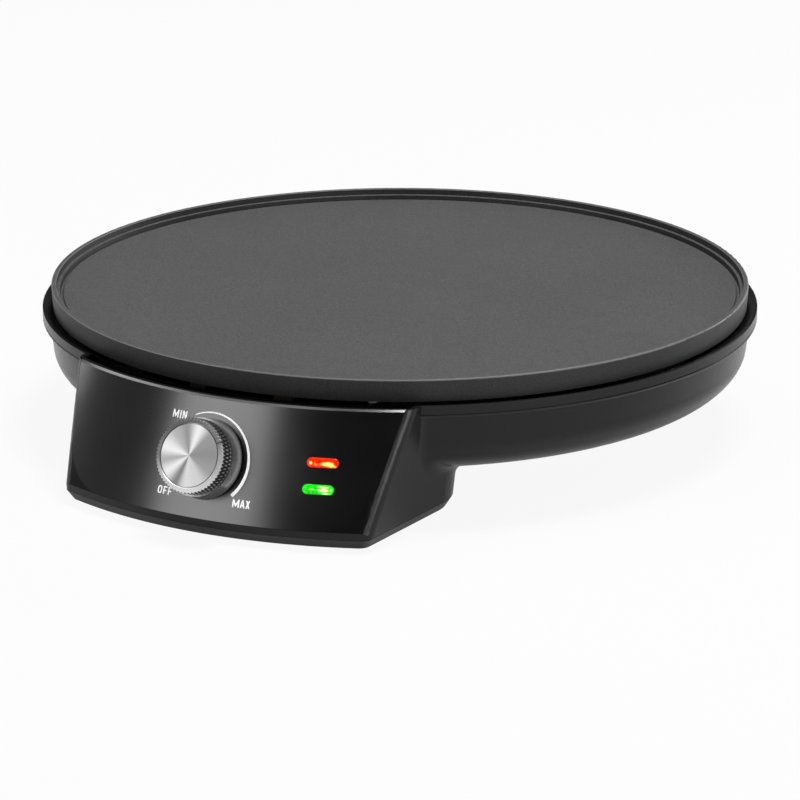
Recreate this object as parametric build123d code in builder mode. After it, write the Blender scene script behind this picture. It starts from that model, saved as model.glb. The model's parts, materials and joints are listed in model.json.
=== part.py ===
from build123d import *

import os
from math import asin, atan, copysign, cos, degrees, radians, sin, sqrt, tan

# ---------------------------------------------------------------- driving dimensions, mm and degrees
# Heights are above the counter, radii are from the plate's axis, and the control panel faces -Y.

# Cooking plate
rim_radius = 155.0
rim_top = 66.3
rim_width = 2.2
rim_slope = 0.3
rim_step_depth = 2.7
rim_step_width = 1.3
rim_step_drop = 0.2
skirt_draft = 0.6
surface_depth = 4.5
groove_depth = 0.6
groove_width = 0.9
groove_slope = 0.5
plate_thickness = 5.1
edge_round = 0.7
small_round = 0.4

# Housing: flange, bowl and control box
wall = 2.5
plate_gap = 0.45
flange_lead = 4.0
flange_width = 3.0
flange_height = 5.7
flange_groove = 0.35
flange_groove_drop = 3.9
flange_lip = 1.2
flange_dip = 1.8
flange_round = 1.0
bowl_wall_height = 11.25
bowl_wall_draft = 1.4
bowl_curve_width = 29.8
bowl_curve_height = 18.7
box_half_width = 74.5
box_width_reach = 152.0
box_splay = 4.9
box_draft = 6.0
box_back = 82.0
box_back_round = 26.0
box_corner_round = 6.0
blend_round = 6.5
parting_height = 5.8
boss_reaches = [148.0, 114.0]
boss_inset = 5.6
boss_rib = 2.0
boss_height = 14.0
boss_wall = 2.2
floor_vent_reach = 34.0
floor_vent_count = 8

# Front panel
panel_lead = 5.7
panel_tilt = 22.0
panel_thickness = 2.5
panel_low_edge = 8.9
panel_inset = 2.8
panel_corner_round = 22.0
panel_bevel = 0.8
panel_edge_bevel = 0.6
panel_gap = 0.1
frame_thickness = 2.4
frame_width = 5.0
channel_depth = 6.5
channel_inset = 0.8
hook_width = 6.0
hook_thickness = 1.4
hook_reach = 1.4
hook_spacing = 44.0
hook_gap = 0.7
window_lintel = 1.5

# Bottom cover and feet
cover_bottom = 1.6
cover_floor = 2.2
cover_bevel = 2.7
cover_gap = 0.15
cover_vent_count = 5
cover_vent_length = 42.0
vent_pitch = 7.5
pad_radius = 5.0
vent_width = 3.0
vent_length = 26.0
foot_radius = 7.0
foot_stem_radius = 2.45
foot_head_radius = 3.3
foot_head_taper = 20.0
front_foot_x = 50.0
front_foot_reach = 142.0
leg_reach = 105.0
leg_angle = 55.0
leg_top_radius = 11.0
leg_foot_radius = 9.0
leg_sole = 5.0

# Knob and thermostat; slant is measured down the panel from its top edge
knob_slant = 26.1
knob_ring_radius = 16.0
knob_skirt_radius = 17.0
knob_skirt_height = 8.0
knob_height = 15.4
knob_chamfer = 2.4
knob_chamfer_height = 1.2
knob_face_radius = 13.4
knob_lift = 0.6
knob_wall = 1.8
knob_recess = 0.9
knob_face_thickness = 0.7
knob_skirt_draft = 0.5
knurl_margin = 0.4
leaf_gap = 0.5
leaf_width = 4.0
leaf_low = 4.2
knob_hub_radius = 6.0
knurl_count = 60
knurl_depth = 0.7
pointer_angle = 61.0
pointer_width = 0.6
shaft_radius = 3.0
shaft_flat = 1.6
shaft_end = 12.0
running_gap = 0.05
bracket_depth = 6.0
bracket_width = 46.0
bracket_height = 26.0
bracket_thickness = 1.2
bracket_boss_x = 19.0
holder_boss_x = 13.0
shaft_hole_radius = 4.5
thermostat_width = 30.0
thermostat_height = 26.0
thermostat_depth = 20.0
cam_radius = 9.0
cam_thickness = 3.0
cam_gap = 0.5
blade_length = 7.0
blade_spread = 8.0
blade_width = 6.3
blade_thickness = 0.8
receptacle_wall = 0.7
receptacle_gap = 1.0

# Indicator lamps, from the middle of the panel along its width
lamp_arc = 51.0
red_slant = 22.5
green_slant = 33.6
lens_length = 13.3
lens_height = 4.0
lens_dome = 0.7
lens_lip = 1.0
lens_seat = 0.3
lamp_radius = 3.0
lamp_length = 10.6

# Heating element, its clamps and what hangs below the plate
element_radius = 105.0
element_tube = 3.3
element_bend = 12.0
element_end_angle = 8.0
element_end_reach = 135.0
insulator_length = 3.0
insulator_round = 0.3
contact_gap = 0.05
clamp_angle = 45.0
clamp_length = 34.0
clamp_width = 12.0
strap_thickness = 1.2
clamp_screw_offset = 12.0
reflector_height = 46.0
reflector_sheet = 0.6
reflector_radius = 138.0
reflector_rim = 8.0
notch_half_width = 60.0
notch_reach = 108.0
post_reach = 80.0
post_angle = 90.0
post_across = 8.0
post_boss_radius = 7.0
post_stud = 8.0
probe_radius = 2.5
probe_length = 48.0
probe_x = -28.0
probe_reach = 70.0
fuse_x = 23.0
fuse_reach = 80.0
fuse_length = 30.0
clip_screw_reach = 9.0
capillary_radius = 0.6
earth_x = 50.0
earth_reach = 114.0
earth_tail = 7.0
earth_tail_width = 5.2
earth_barrel = 6.0
earth_barrel_radius = 1.9

# Terminals, leads and gland
block_x = 35.0
block_gap = 4.5
block_length = 32.0
block_width = 18.0
block_height = 14.0
block_pad_inset = 2.0
pole_spacing = 10.0
pole_height = 13.0
pole_radius = 2.6
pole_stop = 3.0
barrel_wall = 0.55
gland_bore = 3.5
gland_neck = 5.0
gland_flange = 6.6
gland_thickness = 2.5
gland_pad = 3.0
gland_grip = 6.0
gland_barb = 0.8
gland_barb_taper = 15.0
lead_radius = 1.25
lamp_lead_radius = 0.9

# Screws
screw_radius = 1.5
screw_head_radius = 3.0
screw_head_height = 2.0
screw_gap = 0.05
head_gap = 0.2
boss_root = 0.25
cover_screw_length = 12.0
short_screw_length = 6.0
plate_screw_radius = 2.0
plate_screw_head = 3.8
plate_screw_head_height = 2.2

# ---------------------------------------------------------------- derived sizes
flange_radius = rim_radius + flange_lead
bowl_radius = flange_radius - flange_width
panel_top_radius = flange_radius + panel_lead
surface_height = rim_top - surface_depth
plate_bottom = surface_height - plate_thickness
flange_top = plate_bottom - plate_gap
flange_bottom = flange_top - flange_height
bowl_curve_top = flange_bottom - bowl_wall_height
bowl_low_radius = bowl_radius - bowl_wall_draft
bowl_flat_radius = bowl_low_radius - bowl_curve_width
bowl_bottom = bowl_curve_top - bowl_curve_height
bowl_floor = bowl_bottom + wall
channel_floor = flange_top - channel_depth
shelf_bottom = channel_floor - wall
front_wall = panel_thickness + panel_gap + frame_thickness
block_reach = box_back - gland_pad + gland_grip + gland_thickness + block_gap + block_width / 2
cover_top = cover_bottom + cover_floor
tube_height = plate_bottom - contact_gap - element_tube
strap_top = tube_height - element_tube - contact_gap
probe_height = plate_bottom - contact_gap - probe_radius
clip_top = probe_height - probe_radius - contact_gap
reflector_bottom = reflector_height - reflector_sheet
screw_hole = screw_radius + screw_gap
boss_radius = screw_radius + boss_wall

bracket_front = -panel_thickness - bracket_depth
thermostat_front = bracket_front - bracket_thickness
thermostat_back = thermostat_front - thermostat_depth
cam_front = thermostat_front - bracket_thickness - cam_gap
knurl_top = knob_height - knob_chamfer_height
pad_top = parting_height - cover_gap
head_seat = cover_bottom + screw_head_height + head_gap
box_top = flange_top + 1.0


def panel_radius(height, inset=0.0):
    """Radius of the panel's outer cone at a height, moved inwards by inset across its face."""
    tilt = radians(panel_tilt)
    return panel_top_radius + (flange_top - height) * tan(tilt) - inset / cos(tilt)


def panel_reach(x, height, inset=0.0):
    """Distance of the panel's cone in front of the plate's axis, at x and height."""
    return sqrt(panel_radius(height, inset) ** 2 - x**2)


def box_side(reach, height):
    """Half width of the control box at a distance in front of the plate's axis."""
    splay = (box_width_reach - reach) * tan(radians(box_splay))
    draft = (height - parting_height) * tan(radians(box_draft)) / cos(radians(box_splay))
    return box_half_width + splay + draft


def corner_half_width(height):
    """Half width of the control box where its side meets the panel's cone."""
    reach = panel_radius(height)
    for _ in range(20):
        reach = panel_reach(box_side(reach, height), height)
    return box_side(reach, height)


# The knob reaches furthest forwards, so it sets how far the plate's axis is from the middle of the part.
knob_reach = panel_radius(flange_top - knob_slant * cos(radians(panel_tilt)))
front_reach = (
    knob_reach + knurl_top * cos(radians(panel_tilt)) + knob_ring_radius * sin(radians(panel_tilt))
)
plate_axis_y = (front_reach - flange_radius) / 2
beyond = front_reach + 30.0
plate_axis = Axis((0, plate_axis_y, 0), (0, 0, 1))

# base has its origin on the plate's axis at the counter; section is the upright plane through the axis.
base = Plane(origin=(0, plate_axis_y, 0))
section = Plane(origin=(0, plate_axis_y, 0), x_dir=(1, 0, 0), z_dir=(0, -1, 0))


def panel_plane(arc, slant):
    """Plane on the panel's outer face, arc to the right of its middle and slant below its top edge."""
    tilt = radians(panel_tilt)
    height = flange_top - slant * cos(tilt)
    turn = arc / panel_radius(height)
    out = Vector(sin(turn), -cos(turn), 0)
    place = out * panel_radius(height) + Vector(0, plate_axis_y, height)
    normal = out * cos(tilt) + Vector(0, 0, sin(tilt))
    return Plane(origin=place, x_dir=(cos(turn), sin(turn), 0), z_dir=normal)


knob_plane = panel_plane(0, knob_slant)
knob_axis = Axis(knob_plane.origin, knob_plane.z_dir)
knob_section = Plane(origin=knob_plane.origin, x_dir=knob_plane.x_dir, z_dir=-knob_plane.y_dir)
pointer_plane = Plane(
    origin=knob_plane.origin,
    x_dir=knob_plane.x_dir * cos(radians(pointer_angle)) - knob_plane.y_dir * sin(radians(pointer_angle)),
    z_dir=knob_plane.z_dir,
)
red_plane = panel_plane(lamp_arc, red_slant)
green_plane = panel_plane(lamp_arc, green_slant)
lamp_plane = panel_plane(lamp_arc, (red_slant + green_slant) / 2)
lamp_offset = (green_slant - red_slant) / 2


def write(part, name):
    part.label = name
    export_step(part, f"parts/{name}.step")


def shifted(plane, x, y):
    """The plane with its origin moved to local x and y."""
    return Plane(origin=plane.from_local_coords((x, y, 0)), x_dir=plane.x_dir, z_dir=plane.z_dir)


def reversed_plane(plane, height):
    """Plane at a height along another's normal, facing the other way."""
    return Plane(origin=plane.from_local_coords((0, 0, height)), x_dir=plane.x_dir, z_dir=-plane.z_dir)


def flipped(x, y, height):
    """Plane that faces down at x and y from the plate's axis."""
    return Plane(origin=(x, plate_axis_y + y, height), x_dir=(1, 0, 0), z_dir=(0, 0, -1))


def bend_radii(points):
    """For each corner of a route, the largest arc that its two runs allow."""
    radii = []
    for before, corner, after in zip(points, points[1:], points[2:]):
        turn = (corner - before).get_angle(after - corner)
        shorter = min((corner - before).length, (after - corner).length)
        radii.append(0.45 * shorter / tan(radians(turn) / 2))
    return radii


def lead(points, radius):
    """Insulated wire along straight runs joined by tangent arcs; points are from the plate's axis."""
    places = [base.from_local_coords(Vector(point)) for point in points]
    radii = bend_radii(places)
    print("lead bend radii:", [round(value, 1) for value in radii])
    with BuildPart() as wire:
        with BuildLine() as route:
            FilletPolyline(*places, radius=radii)
        with BuildSketch(Plane(origin=route.line @ 0, z_dir=route.line % 0)):
            Circle(radius)
        sweep()
    return wire.part


def screw(plane, length, radius=screw_radius, head_radius=screw_head_radius, head=screw_head_height):
    """Pan-head screw: its head stands on the plane and its shank runs against the plane's normal."""
    with BuildPart() as fastener:
        with BuildSketch(plane):
            Circle(head_radius)
        extrude(amount=head)
        fillet(fastener.faces().sort_by(Axis(plane.origin, plane.z_dir))[-1].edges(), head * 0.4)
        with BuildSketch(plane):
            Circle(radius)
        extrude(amount=-length)
        with BuildSketch(plane.offset(head)):
            SlotOverall(head_radius * 1.4, head_radius * 0.28)
            SlotOverall(head_radius * 1.4, head_radius * 0.28, rotation=90)
        extrude(amount=-head * 0.45, mode=Mode.SUBTRACT)
    return fastener.part


def box_outline(inset):
    """Plan of the control box at the parting line, open-ended far in front of the panel."""
    with BuildSketch(base.offset(parting_height)) as outline:
        with BuildLine():
            Polyline(
                (-box_side(beyond, parting_height), -beyond),
                (box_side(beyond, parting_height), -beyond),
                (box_side(box_back, parting_height), -box_back),
                (-box_side(box_back, parting_height), -box_back),
                close=True,
            )
        make_face()
        fillet(outline.vertices().group_by(Axis.Y)[-1], box_back_round)
        if inset:
            offset(amount=-inset, mode=Mode.REPLACE)
    return outline.sketch


def cone_profile(low, high, inset=0.0):
    """Half section inside the panel's cone, upright below the panel's lower edge."""
    with BuildSketch(section) as profile:
        with BuildLine():
            Polyline(
                (0, low),
                (panel_radius(panel_low_edge, inset), low),
                (panel_radius(panel_low_edge, inset), panel_low_edge),
                (panel_radius(high, inset), high),
                (0, high),
                close=True,
            )
        make_face()
    return profile.sketch


def panel_outline(inset):
    """Front view of the panel, sides along the box's corners and lower corners rounded."""
    low_half_width = corner_half_width(panel_low_edge) - panel_inset
    top_half_width = corner_half_width(flange_top) - panel_inset
    with BuildSketch(section) as outline:
        with BuildLine():
            Polyline(
                (-low_half_width, panel_low_edge),
                (low_half_width, panel_low_edge),
                (top_half_width, flange_top),
                (-top_half_width, flange_top),
                close=True,
            )
        make_face()
        fillet(outline.vertices().group_by(Axis.Y)[0], panel_corner_round)
        if inset:
            offset(amount=-inset, mode=Mode.REPLACE)
    return outline.sketch


os.makedirs("parts", exist_ok=True)

# ---------------------------------------------------------------- cooking plate
clamp_places = [clamp_angle, 180 - clamp_angle, 180 + clamp_angle, 360 - clamp_angle]
clamp_reaches = [element_radius - clamp_screw_offset, element_radius + clamp_screw_offset]
clip_centres = [(probe_x, -probe_reach), (fuse_x, -fuse_reach)]
clip_screws_at = [(x, y - clip_screw_reach) for x, y in clip_centres]

with BuildPart() as cooking_plate:
    with BuildSketch(section) as plate_profile:
        inner = rim_radius - rim_width
        step = inner - rim_step_width - rim_slope
        groove = step - rim_slope - groove_width
        with BuildLine():
            Polyline(
                (0, plate_bottom),
                (rim_radius - skirt_draft, plate_bottom),
                (rim_radius, rim_top),
                (inner, rim_top),
                (inner - rim_slope, rim_top - rim_step_depth),
                (step, rim_top - rim_step_depth - rim_step_drop),
                (step - rim_slope, surface_height - groove_depth),
                (groove, surface_height - groove_depth),
                (groove - groove_slope, surface_height),
                (0, surface_height),
                close=True,
            )
        make_face()
        fillet(plate_profile.vertices().sort_by_distance((rim_radius, rim_top, 0))[0], edge_round)
        fillet(plate_profile.vertices().sort_by_distance((inner, rim_top, 0))[0], small_round)
    revolve(axis=plate_axis)
    with BuildSketch(base.offset(plate_bottom)):
        with PolarLocations(post_reach, 3, start_angle=post_angle):
            Circle(post_boss_radius)
    extrude(amount=-(plate_bottom - reflector_height))
    with BuildSketch(base.offset(plate_bottom)):
        for angle in clamp_places:
            with PolarLocations(clamp_reaches[0], 1, start_angle=angle):
                Circle(boss_radius)
            with PolarLocations(clamp_reaches[1], 1, start_angle=angle):
                Circle(boss_radius)
        with Locations((earth_x, -earth_reach)):
            Circle(boss_radius)
    extrude(amount=-(plate_bottom - strap_top))
    with BuildSketch(base.offset(plate_bottom)):
        with Locations(*clip_screws_at):
            Circle(boss_radius)
    extrude(amount=-(plate_bottom - clip_top))
    with BuildSketch(base.offset(reflector_height)):
        with PolarLocations(post_reach, 3, start_angle=post_angle):
            Circle(plate_screw_radius + screw_gap)
    extrude(amount=plate_bottom - reflector_height, mode=Mode.SUBTRACT)
    with BuildSketch(base.offset(strap_top)):
        for angle in clamp_places:
            with PolarLocations(clamp_reaches[0], 1, start_angle=angle):
                Circle(screw_hole)
            with PolarLocations(clamp_reaches[1], 1, start_angle=angle):
                Circle(screw_hole)
        with Locations((earth_x, -earth_reach), *clip_screws_at):
            Circle(screw_hole)
    extrude(amount=plate_bottom - strap_top, mode=Mode.SUBTRACT)
write(cooking_plate.part, "cooking_plate")

# ---------------------------------------------------------------- heating element
end_turn = degrees(asin(element_bend / (element_radius + element_bend)))
loop_gap = element_end_angle + end_turn
line_start = (element_radius + element_bend) * cos(radians(end_turn))

with BuildPart() as heating_element:
    with BuildLine(base.offset(tube_height)) as loop:
        ring = CenterArc((0, 0), element_radius, 270 + loop_gap, 360 - 2 * loop_gap)
        for end, sense in ((0, -1), (1, 1)):
            heading = (ring % end) * sense
            bend = JernArc(
                start=ring @ end, tangent=heading, radius=element_bend, arc_size=-sense * (90 - end_turn)
            )
            Line(bend @ 1, (bend @ 1) + (bend % 1) * (element_end_reach - line_start))
    with BuildSketch(Plane(origin=loop.wire() @ 0, z_dir=loop.wire() % 0)):
        Circle(element_tube)
    sweep()
write(heating_element.part, "heating_element")

# ---------------------------------------------------------------- control box, outside and inside
with BuildPart() as box_outside:
    extrude(box_outline(0), amount=box_top - parting_height, taper=-box_draft)
    revolve(cone_profile(parting_height, flange_top), axis=plate_axis, mode=Mode.INTERSECT)
    front_corners = box_outside.edges().filter_by(
        lambda edge: edge.center().Y < plate_axis_y - panel_top_radius * 0.8
        and abs(edge.center().X) > box_half_width * 0.9
        and abs((edge % 0.5).Z) > 0.8
    )
    fillet(front_corners, box_corner_round)

with BuildPart() as box_inside:
    extrude(box_outline(wall), amount=shelf_bottom - parting_height, taper=-box_draft)
    extrude(box_outline(wall), amount=-wall)
    inside_profile = cone_profile(parting_height - wall, shelf_bottom, front_wall)
    revolve(inside_profile, axis=plate_axis, mode=Mode.INTERSECT)

with BuildPart() as cover_inside:
    extrude(box_outline(wall), amount=-(parting_height - cover_top))
    revolve(cone_profile(cover_top, flange_top, front_wall), axis=plate_axis, mode=Mode.INTERSECT)

with BuildPart() as channel:
    extrude(box_outline(wall), amount=box_top - parting_height, taper=-box_draft)
    with BuildSketch(section):
        with BuildLine():
            Polyline(
                (bowl_radius - channel_inset, channel_floor),
                (panel_radius(channel_floor, panel_thickness + panel_gap), channel_floor),
                (panel_radius(box_top, panel_thickness + panel_gap), box_top),
                (bowl_radius - channel_inset, box_top),
                close=True,
            )
        make_face()
    revolve(axis=plate_axis, mode=Mode.INTERSECT)

with BuildPart() as panel_recess:
    extrude(panel_outline(-panel_gap), amount=beyond)
    revolve(cone_profile(0, box_top, panel_thickness + panel_gap), axis=plate_axis, mode=Mode.SUBTRACT)

with BuildPart() as panel_window:
    extrude(panel_outline(frame_width), amount=beyond)
    revolve(cone_profile(0, box_top, front_wall + wall), axis=plate_axis, mode=Mode.SUBTRACT)
    split(bisect_by=Plane.XY.offset(shelf_bottom - window_lintel), keep=Keep.BOTTOM)

# ---------------------------------------------------------------- housing
boss_places = [
    (sign * (box_side(reach, parting_height) - wall - boss_inset), -reach)
    for reach in boss_reaches
    for sign in (-1, 1)
]
leg_places = [
    (sign * leg_reach * cos(radians(leg_angle)), leg_reach * sin(radians(leg_angle))) for sign in (-1, 1)
]
gland_place = (block_x, -(box_back - gland_pad))
gland_plane = Plane(
    origin=(gland_place[0], plate_axis_y + gland_place[1], pole_height), x_dir=(1, 0, 0), z_dir=(0, 1, 0)
)


def bowl_wall(inset, top):
    """Half section of the bowl, moved inwards by inset."""
    with BuildSketch(section) as profile:
        with BuildLine():
            Polyline(
                (bowl_low_radius - inset, bowl_curve_top),
                (bowl_radius - inset, flange_bottom),
                (bowl_radius - inset, top),
                (0, top),
                (0, bowl_bottom + inset),
                (bowl_flat_radius, bowl_bottom + inset),
            )
            EllipticalCenterArc(
                center=(bowl_flat_radius, bowl_curve_top),
                x_radius=bowl_curve_width - inset,
                y_radius=bowl_curve_height - inset,
                start_angle=-90,
                arc_size=90,
            )
        make_face()
    return profile.sketch


with BuildPart() as housing:
    revolve(bowl_wall(0, flange_top), axis=plate_axis)
    add(box_outside.part)
    junction = housing.edges(Select.NEW).filter_by(
        lambda edge: parting_height + 1 < edge.center().Z < flange_top - 0.1
    )
    fillet(junction, blend_round)
    with BuildSketch(section) as flange_profile:
        with BuildLine():
            Polyline(
                (bowl_radius - wall, flange_bottom),
                (flange_radius, flange_bottom),
                (flange_radius, flange_top - flange_groove_drop - flange_groove),
                (flange_radius - flange_groove, flange_top - flange_groove_drop - flange_groove),
                (flange_radius - flange_groove, flange_top - flange_groove_drop),
                (flange_radius, flange_top - flange_groove_drop),
                (flange_radius, flange_top),
                (bowl_radius - wall, flange_top),
                close=True,
            )
        make_face()
        flange_corners = flange_profile.vertices()
        fillet(flange_corners.sort_by_distance((flange_radius, flange_bottom, 0))[0], flange_round)
        fillet(flange_corners.sort_by_distance((flange_radius, flange_top, 0))[0], small_round)
    revolve(axis=plate_axis)
    leg_middle = (bowl_bottom + cover_bottom) / 2
    with Locations(*[base.from_local_coords((x, y, leg_middle)) for x, y in leg_places]):
        Cone(leg_foot_radius, leg_top_radius, bowl_bottom - cover_bottom)
    with BuildSketch(gland_plane):
        Circle(gland_flange + 2 * head_gap)
    extrude(amount=-gland_pad - wall)
    revolve(bowl_wall(wall, flange_top), axis=plate_axis, mode=Mode.SUBTRACT)
    add(box_inside.part, mode=Mode.SUBTRACT)
    add(channel.part, mode=Mode.SUBTRACT)
    add(panel_recess.part, mode=Mode.SUBTRACT)
    add(panel_window.part, mode=Mode.SUBTRACT)
    with BuildSketch(section):
        with BuildLine():
            Polyline(
                (bowl_radius - wall, flange_top - flange_dip),
                (flange_radius - flange_lip, flange_top),
                (bowl_radius - wall, flange_top),
                close=True,
            )
        make_face()
    revolve(axis=plate_axis, mode=Mode.SUBTRACT)
    rib_length = boss_inset + wall - boss_root
    with BuildSketch(base.offset(parting_height)):
        with Locations(*boss_places):
            Circle(boss_radius)
        with Locations(*[(x + copysign(rib_length / 2, x), y) for x, y in boss_places]):
            Rectangle(rib_length, boss_rib)
    extrude(amount=boss_height)
    with BuildSketch(base.offset(parting_height)):
        with Locations(*boss_places):
            Circle(screw_hole)
    extrude(amount=cover_screw_length, mode=Mode.SUBTRACT)
    with BuildSketch(base.offset(bowl_floor)):
        with PolarLocations(post_reach, 3, start_angle=post_angle):
            Circle(plate_screw_radius + head_gap)
        with PolarLocations(floor_vent_reach, floor_vent_count):
            SlotOverall(vent_length, vent_width)
    extrude(amount=-2 * wall, mode=Mode.SUBTRACT)
    with BuildSketch(base.offset(cover_bottom + leg_sole)):
        with Locations(*leg_places):
            Circle(leg_foot_radius - wall)
    extrude(amount=bowl_floor - cover_bottom - leg_sole, mode=Mode.SUBTRACT)
    with BuildSketch(base.offset(cover_bottom)):
        with Locations(*leg_places):
            Circle(foot_stem_radius + screw_gap)
    extrude(amount=leg_sole, mode=Mode.SUBTRACT)
    with BuildSketch(gland_plane):
        Circle(gland_neck + screw_gap)
    extrude(amount=-3 * wall - gland_pad, mode=Mode.SUBTRACT)
    with BuildSketch(gland_plane):
        Circle(gland_flange + 2 * head_gap)
    extrude(amount=gland_flange, mode=Mode.SUBTRACT)
write(housing.part, "housing")

# ---------------------------------------------------------------- front panel
bracket_boss_places = [(-bracket_boss_x, 0), (bracket_boss_x, 0)]
holder_boss_places = [(-holder_boss_x, 0), (holder_boss_x, 0)]

with BuildPart() as front_panel:
    extrude(panel_outline(0), amount=beyond)
    revolve(cone_profile(0, flange_top), axis=plate_axis, mode=Mode.INTERSECT)
    revolve(cone_profile(0, flange_top, panel_thickness), axis=plate_axis, mode=Mode.SUBTRACT)
    outer_edges = front_panel.faces().sort_by(SortBy.AREA)[-1].edges().sort_by(Axis.Z)
    chamfer(outer_edges[:-1], panel_edge_bevel)
    outer_edges = front_panel.faces().sort_by(SortBy.AREA)[-1].edges().sort_by(Axis.Z)
    chamfer(outer_edges[-1], panel_bevel)
    for plane, places in ((knob_plane, bracket_boss_places), (lamp_plane, holder_boss_places)):
        with BuildSketch(plane.offset(bracket_front)):
            with Locations(*places):
                Circle(boss_radius)
        extrude(amount=bracket_depth + boss_root)
        with BuildSketch(plane.offset(bracket_front)):
            with Locations(*places):
                Circle(screw_hole)
        extrude(amount=short_screw_length - bracket_thickness + head_gap, mode=Mode.SUBTRACT)
    with BuildSketch(knob_plane):
        Circle(shaft_hole_radius)
    extrude(amount=panel_thickness * 1.5, both=True, mode=Mode.SUBTRACT)
    for lens_plane in (red_plane, green_plane):
        with BuildSketch(lens_plane):
            SlotOverall(lens_length + 2 * panel_gap, lens_height + 2 * panel_gap)
        extrude(amount=panel_thickness * 1.5, both=True, mode=Mode.SUBTRACT)
    for x in (-hook_spacing, 0, hook_spacing):
        for low in (True, False):
            edge_height = panel_low_edge + frame_width if low else shelf_bottom - window_lintel
            inward = 1 if low else -1
            arm_height = edge_height + inward * (hook_gap + hook_thickness / 2)
            front = -panel_reach(x, arm_height, panel_thickness - 4 * boss_root)
            back = -panel_reach(x, arm_height, front_wall + hook_gap) + hook_thickness * 2
            with Locations(base.from_local_coords((x, (front + back) / 2, arm_height))):
                Box(hook_width, back - front, hook_thickness)
            with Locations(
                base.from_local_coords((x, back - hook_thickness / 2, arm_height - inward * hook_reach))
            ):
                Box(hook_width, hook_thickness, hook_thickness)
write(front_panel.part, "front_panel")

# ---------------------------------------------------------------- bottom cover and feet
front_feet_places = [(-front_foot_x, -front_foot_reach), (front_foot_x, -front_foot_reach)]
cover_rim_top = parting_height - cover_gap

with BuildPart() as bottom_cover:
    bevel_slope = cover_bevel / (parting_height - cover_bottom)
    cover_radius = panel_radius(panel_low_edge)
    extrude(
        box_outline(0), amount=-(parting_height - cover_bottom), taper=degrees(atan(bevel_slope))
    )
    with BuildSketch(section):
        with BuildLine():
            Polyline(
                (0, cover_bottom),
                (cover_radius - cover_bevel, cover_bottom),
                (cover_radius - cover_gap * bevel_slope, cover_rim_top),
                (0, cover_rim_top),
                close=True,
            )
        make_face()
    revolve(axis=plate_axis, mode=Mode.INTERSECT)
    cover_corners = bottom_cover.edges().filter_by(
        lambda edge: edge.center().Y < plate_axis_y - panel_top_radius * 0.8
        and abs((edge % 0.5).Z) > 0.5
    )
    fillet(cover_corners, box_corner_round)
    add(cover_inside.part, mode=Mode.SUBTRACT)
    with BuildSketch(base.offset(cover_bottom)):
        with Locations(*boss_places):
            Circle(pad_radius)
        with Locations((block_x, -block_reach)):
            RectangleRounded(
                block_length - 2 * block_pad_inset, block_width - 2 * block_pad_inset, block_pad_inset
            )
    extrude(amount=pad_top - cover_bottom)
    with BuildSketch(base.offset(cover_bottom)):
        with Locations(*boss_places, (block_x, -block_reach)):
            Circle(screw_head_radius + head_gap)
    extrude(amount=head_seat - cover_bottom, mode=Mode.SUBTRACT)
    with BuildSketch(base.offset(cover_bottom)):
        with Locations(*boss_places, (block_x, -block_reach)):
            Circle(screw_hole)
        with Locations(*front_feet_places):
            Circle(foot_stem_radius + screw_gap)
        with Locations((-vent_length, -(box_back + panel_radius(cover_bottom)) / 2)):
            with GridLocations(0, vent_pitch, 1, cover_vent_count):
                SlotOverall(cover_vent_length, vent_width)
    extrude(amount=pad_top, mode=Mode.SUBTRACT)
write(bottom_cover.part, "bottom_cover")

with BuildPart() as cover_screws:
    for x, y in boss_places:
        add(screw(flipped(x, y, head_seat), cover_screw_length - 1))
write(cover_screws.part, "cover_screws")

with BuildPart() as block_screw:
    add(screw(flipped(block_x, -block_reach, head_seat), short_screw_length))
write(block_screw.part, "block_screw")


def rubber_foot(x, y, sole):
    """Push-in foot: a disc below, a stem through the sole and a head that holds it from above."""
    with BuildPart() as foot:
        with BuildSketch(base):
            with Locations((x, y)):
                Circle(foot_radius)
        extrude(amount=cover_bottom)
        fillet(foot.edges().sort_by(Axis.Z)[0], cover_bottom * 0.4)
        with BuildSketch(base.offset(cover_bottom)):
            with Locations((x, y)):
                Circle(foot_stem_radius)
        extrude(amount=sole + screw_gap)
        with BuildSketch(base.offset(cover_bottom + sole + screw_gap)):
            with Locations((x, y)):
                Circle(foot_head_radius)
        extrude(amount=foot_head_radius / 2, taper=foot_head_taper)
    return foot.part


with BuildPart() as front_feet:
    for x, y in front_feet_places:
        add(rubber_foot(x, y, cover_floor))
write(front_feet.part, "front_feet")

with BuildPart() as rear_feet:
    for x, y in leg_places:
        add(rubber_foot(x, y, leg_sole))
write(rear_feet.part, "rear_feet")

with BuildPart() as cord_gland:
    with BuildSketch(gland_plane):
        Circle(gland_flange)
    extrude(amount=gland_thickness)
    fillet(cord_gland.faces().sort_by(Axis.Y)[-1].edges(), edge_round)
    with BuildSketch(gland_plane):
        Circle(gland_neck)
    extrude(amount=-gland_grip)
    with BuildSketch(gland_plane.offset(-gland_grip)):
        Circle(gland_neck + gland_barb)
    extrude(amount=-gland_thickness, taper=gland_barb_taper)
    with BuildSketch(gland_plane):
        Circle(gland_bore)
    extrude(amount=2 * gland_grip, both=True, mode=Mode.SUBTRACT)
write(cord_gland.part, "cord_gland")

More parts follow.
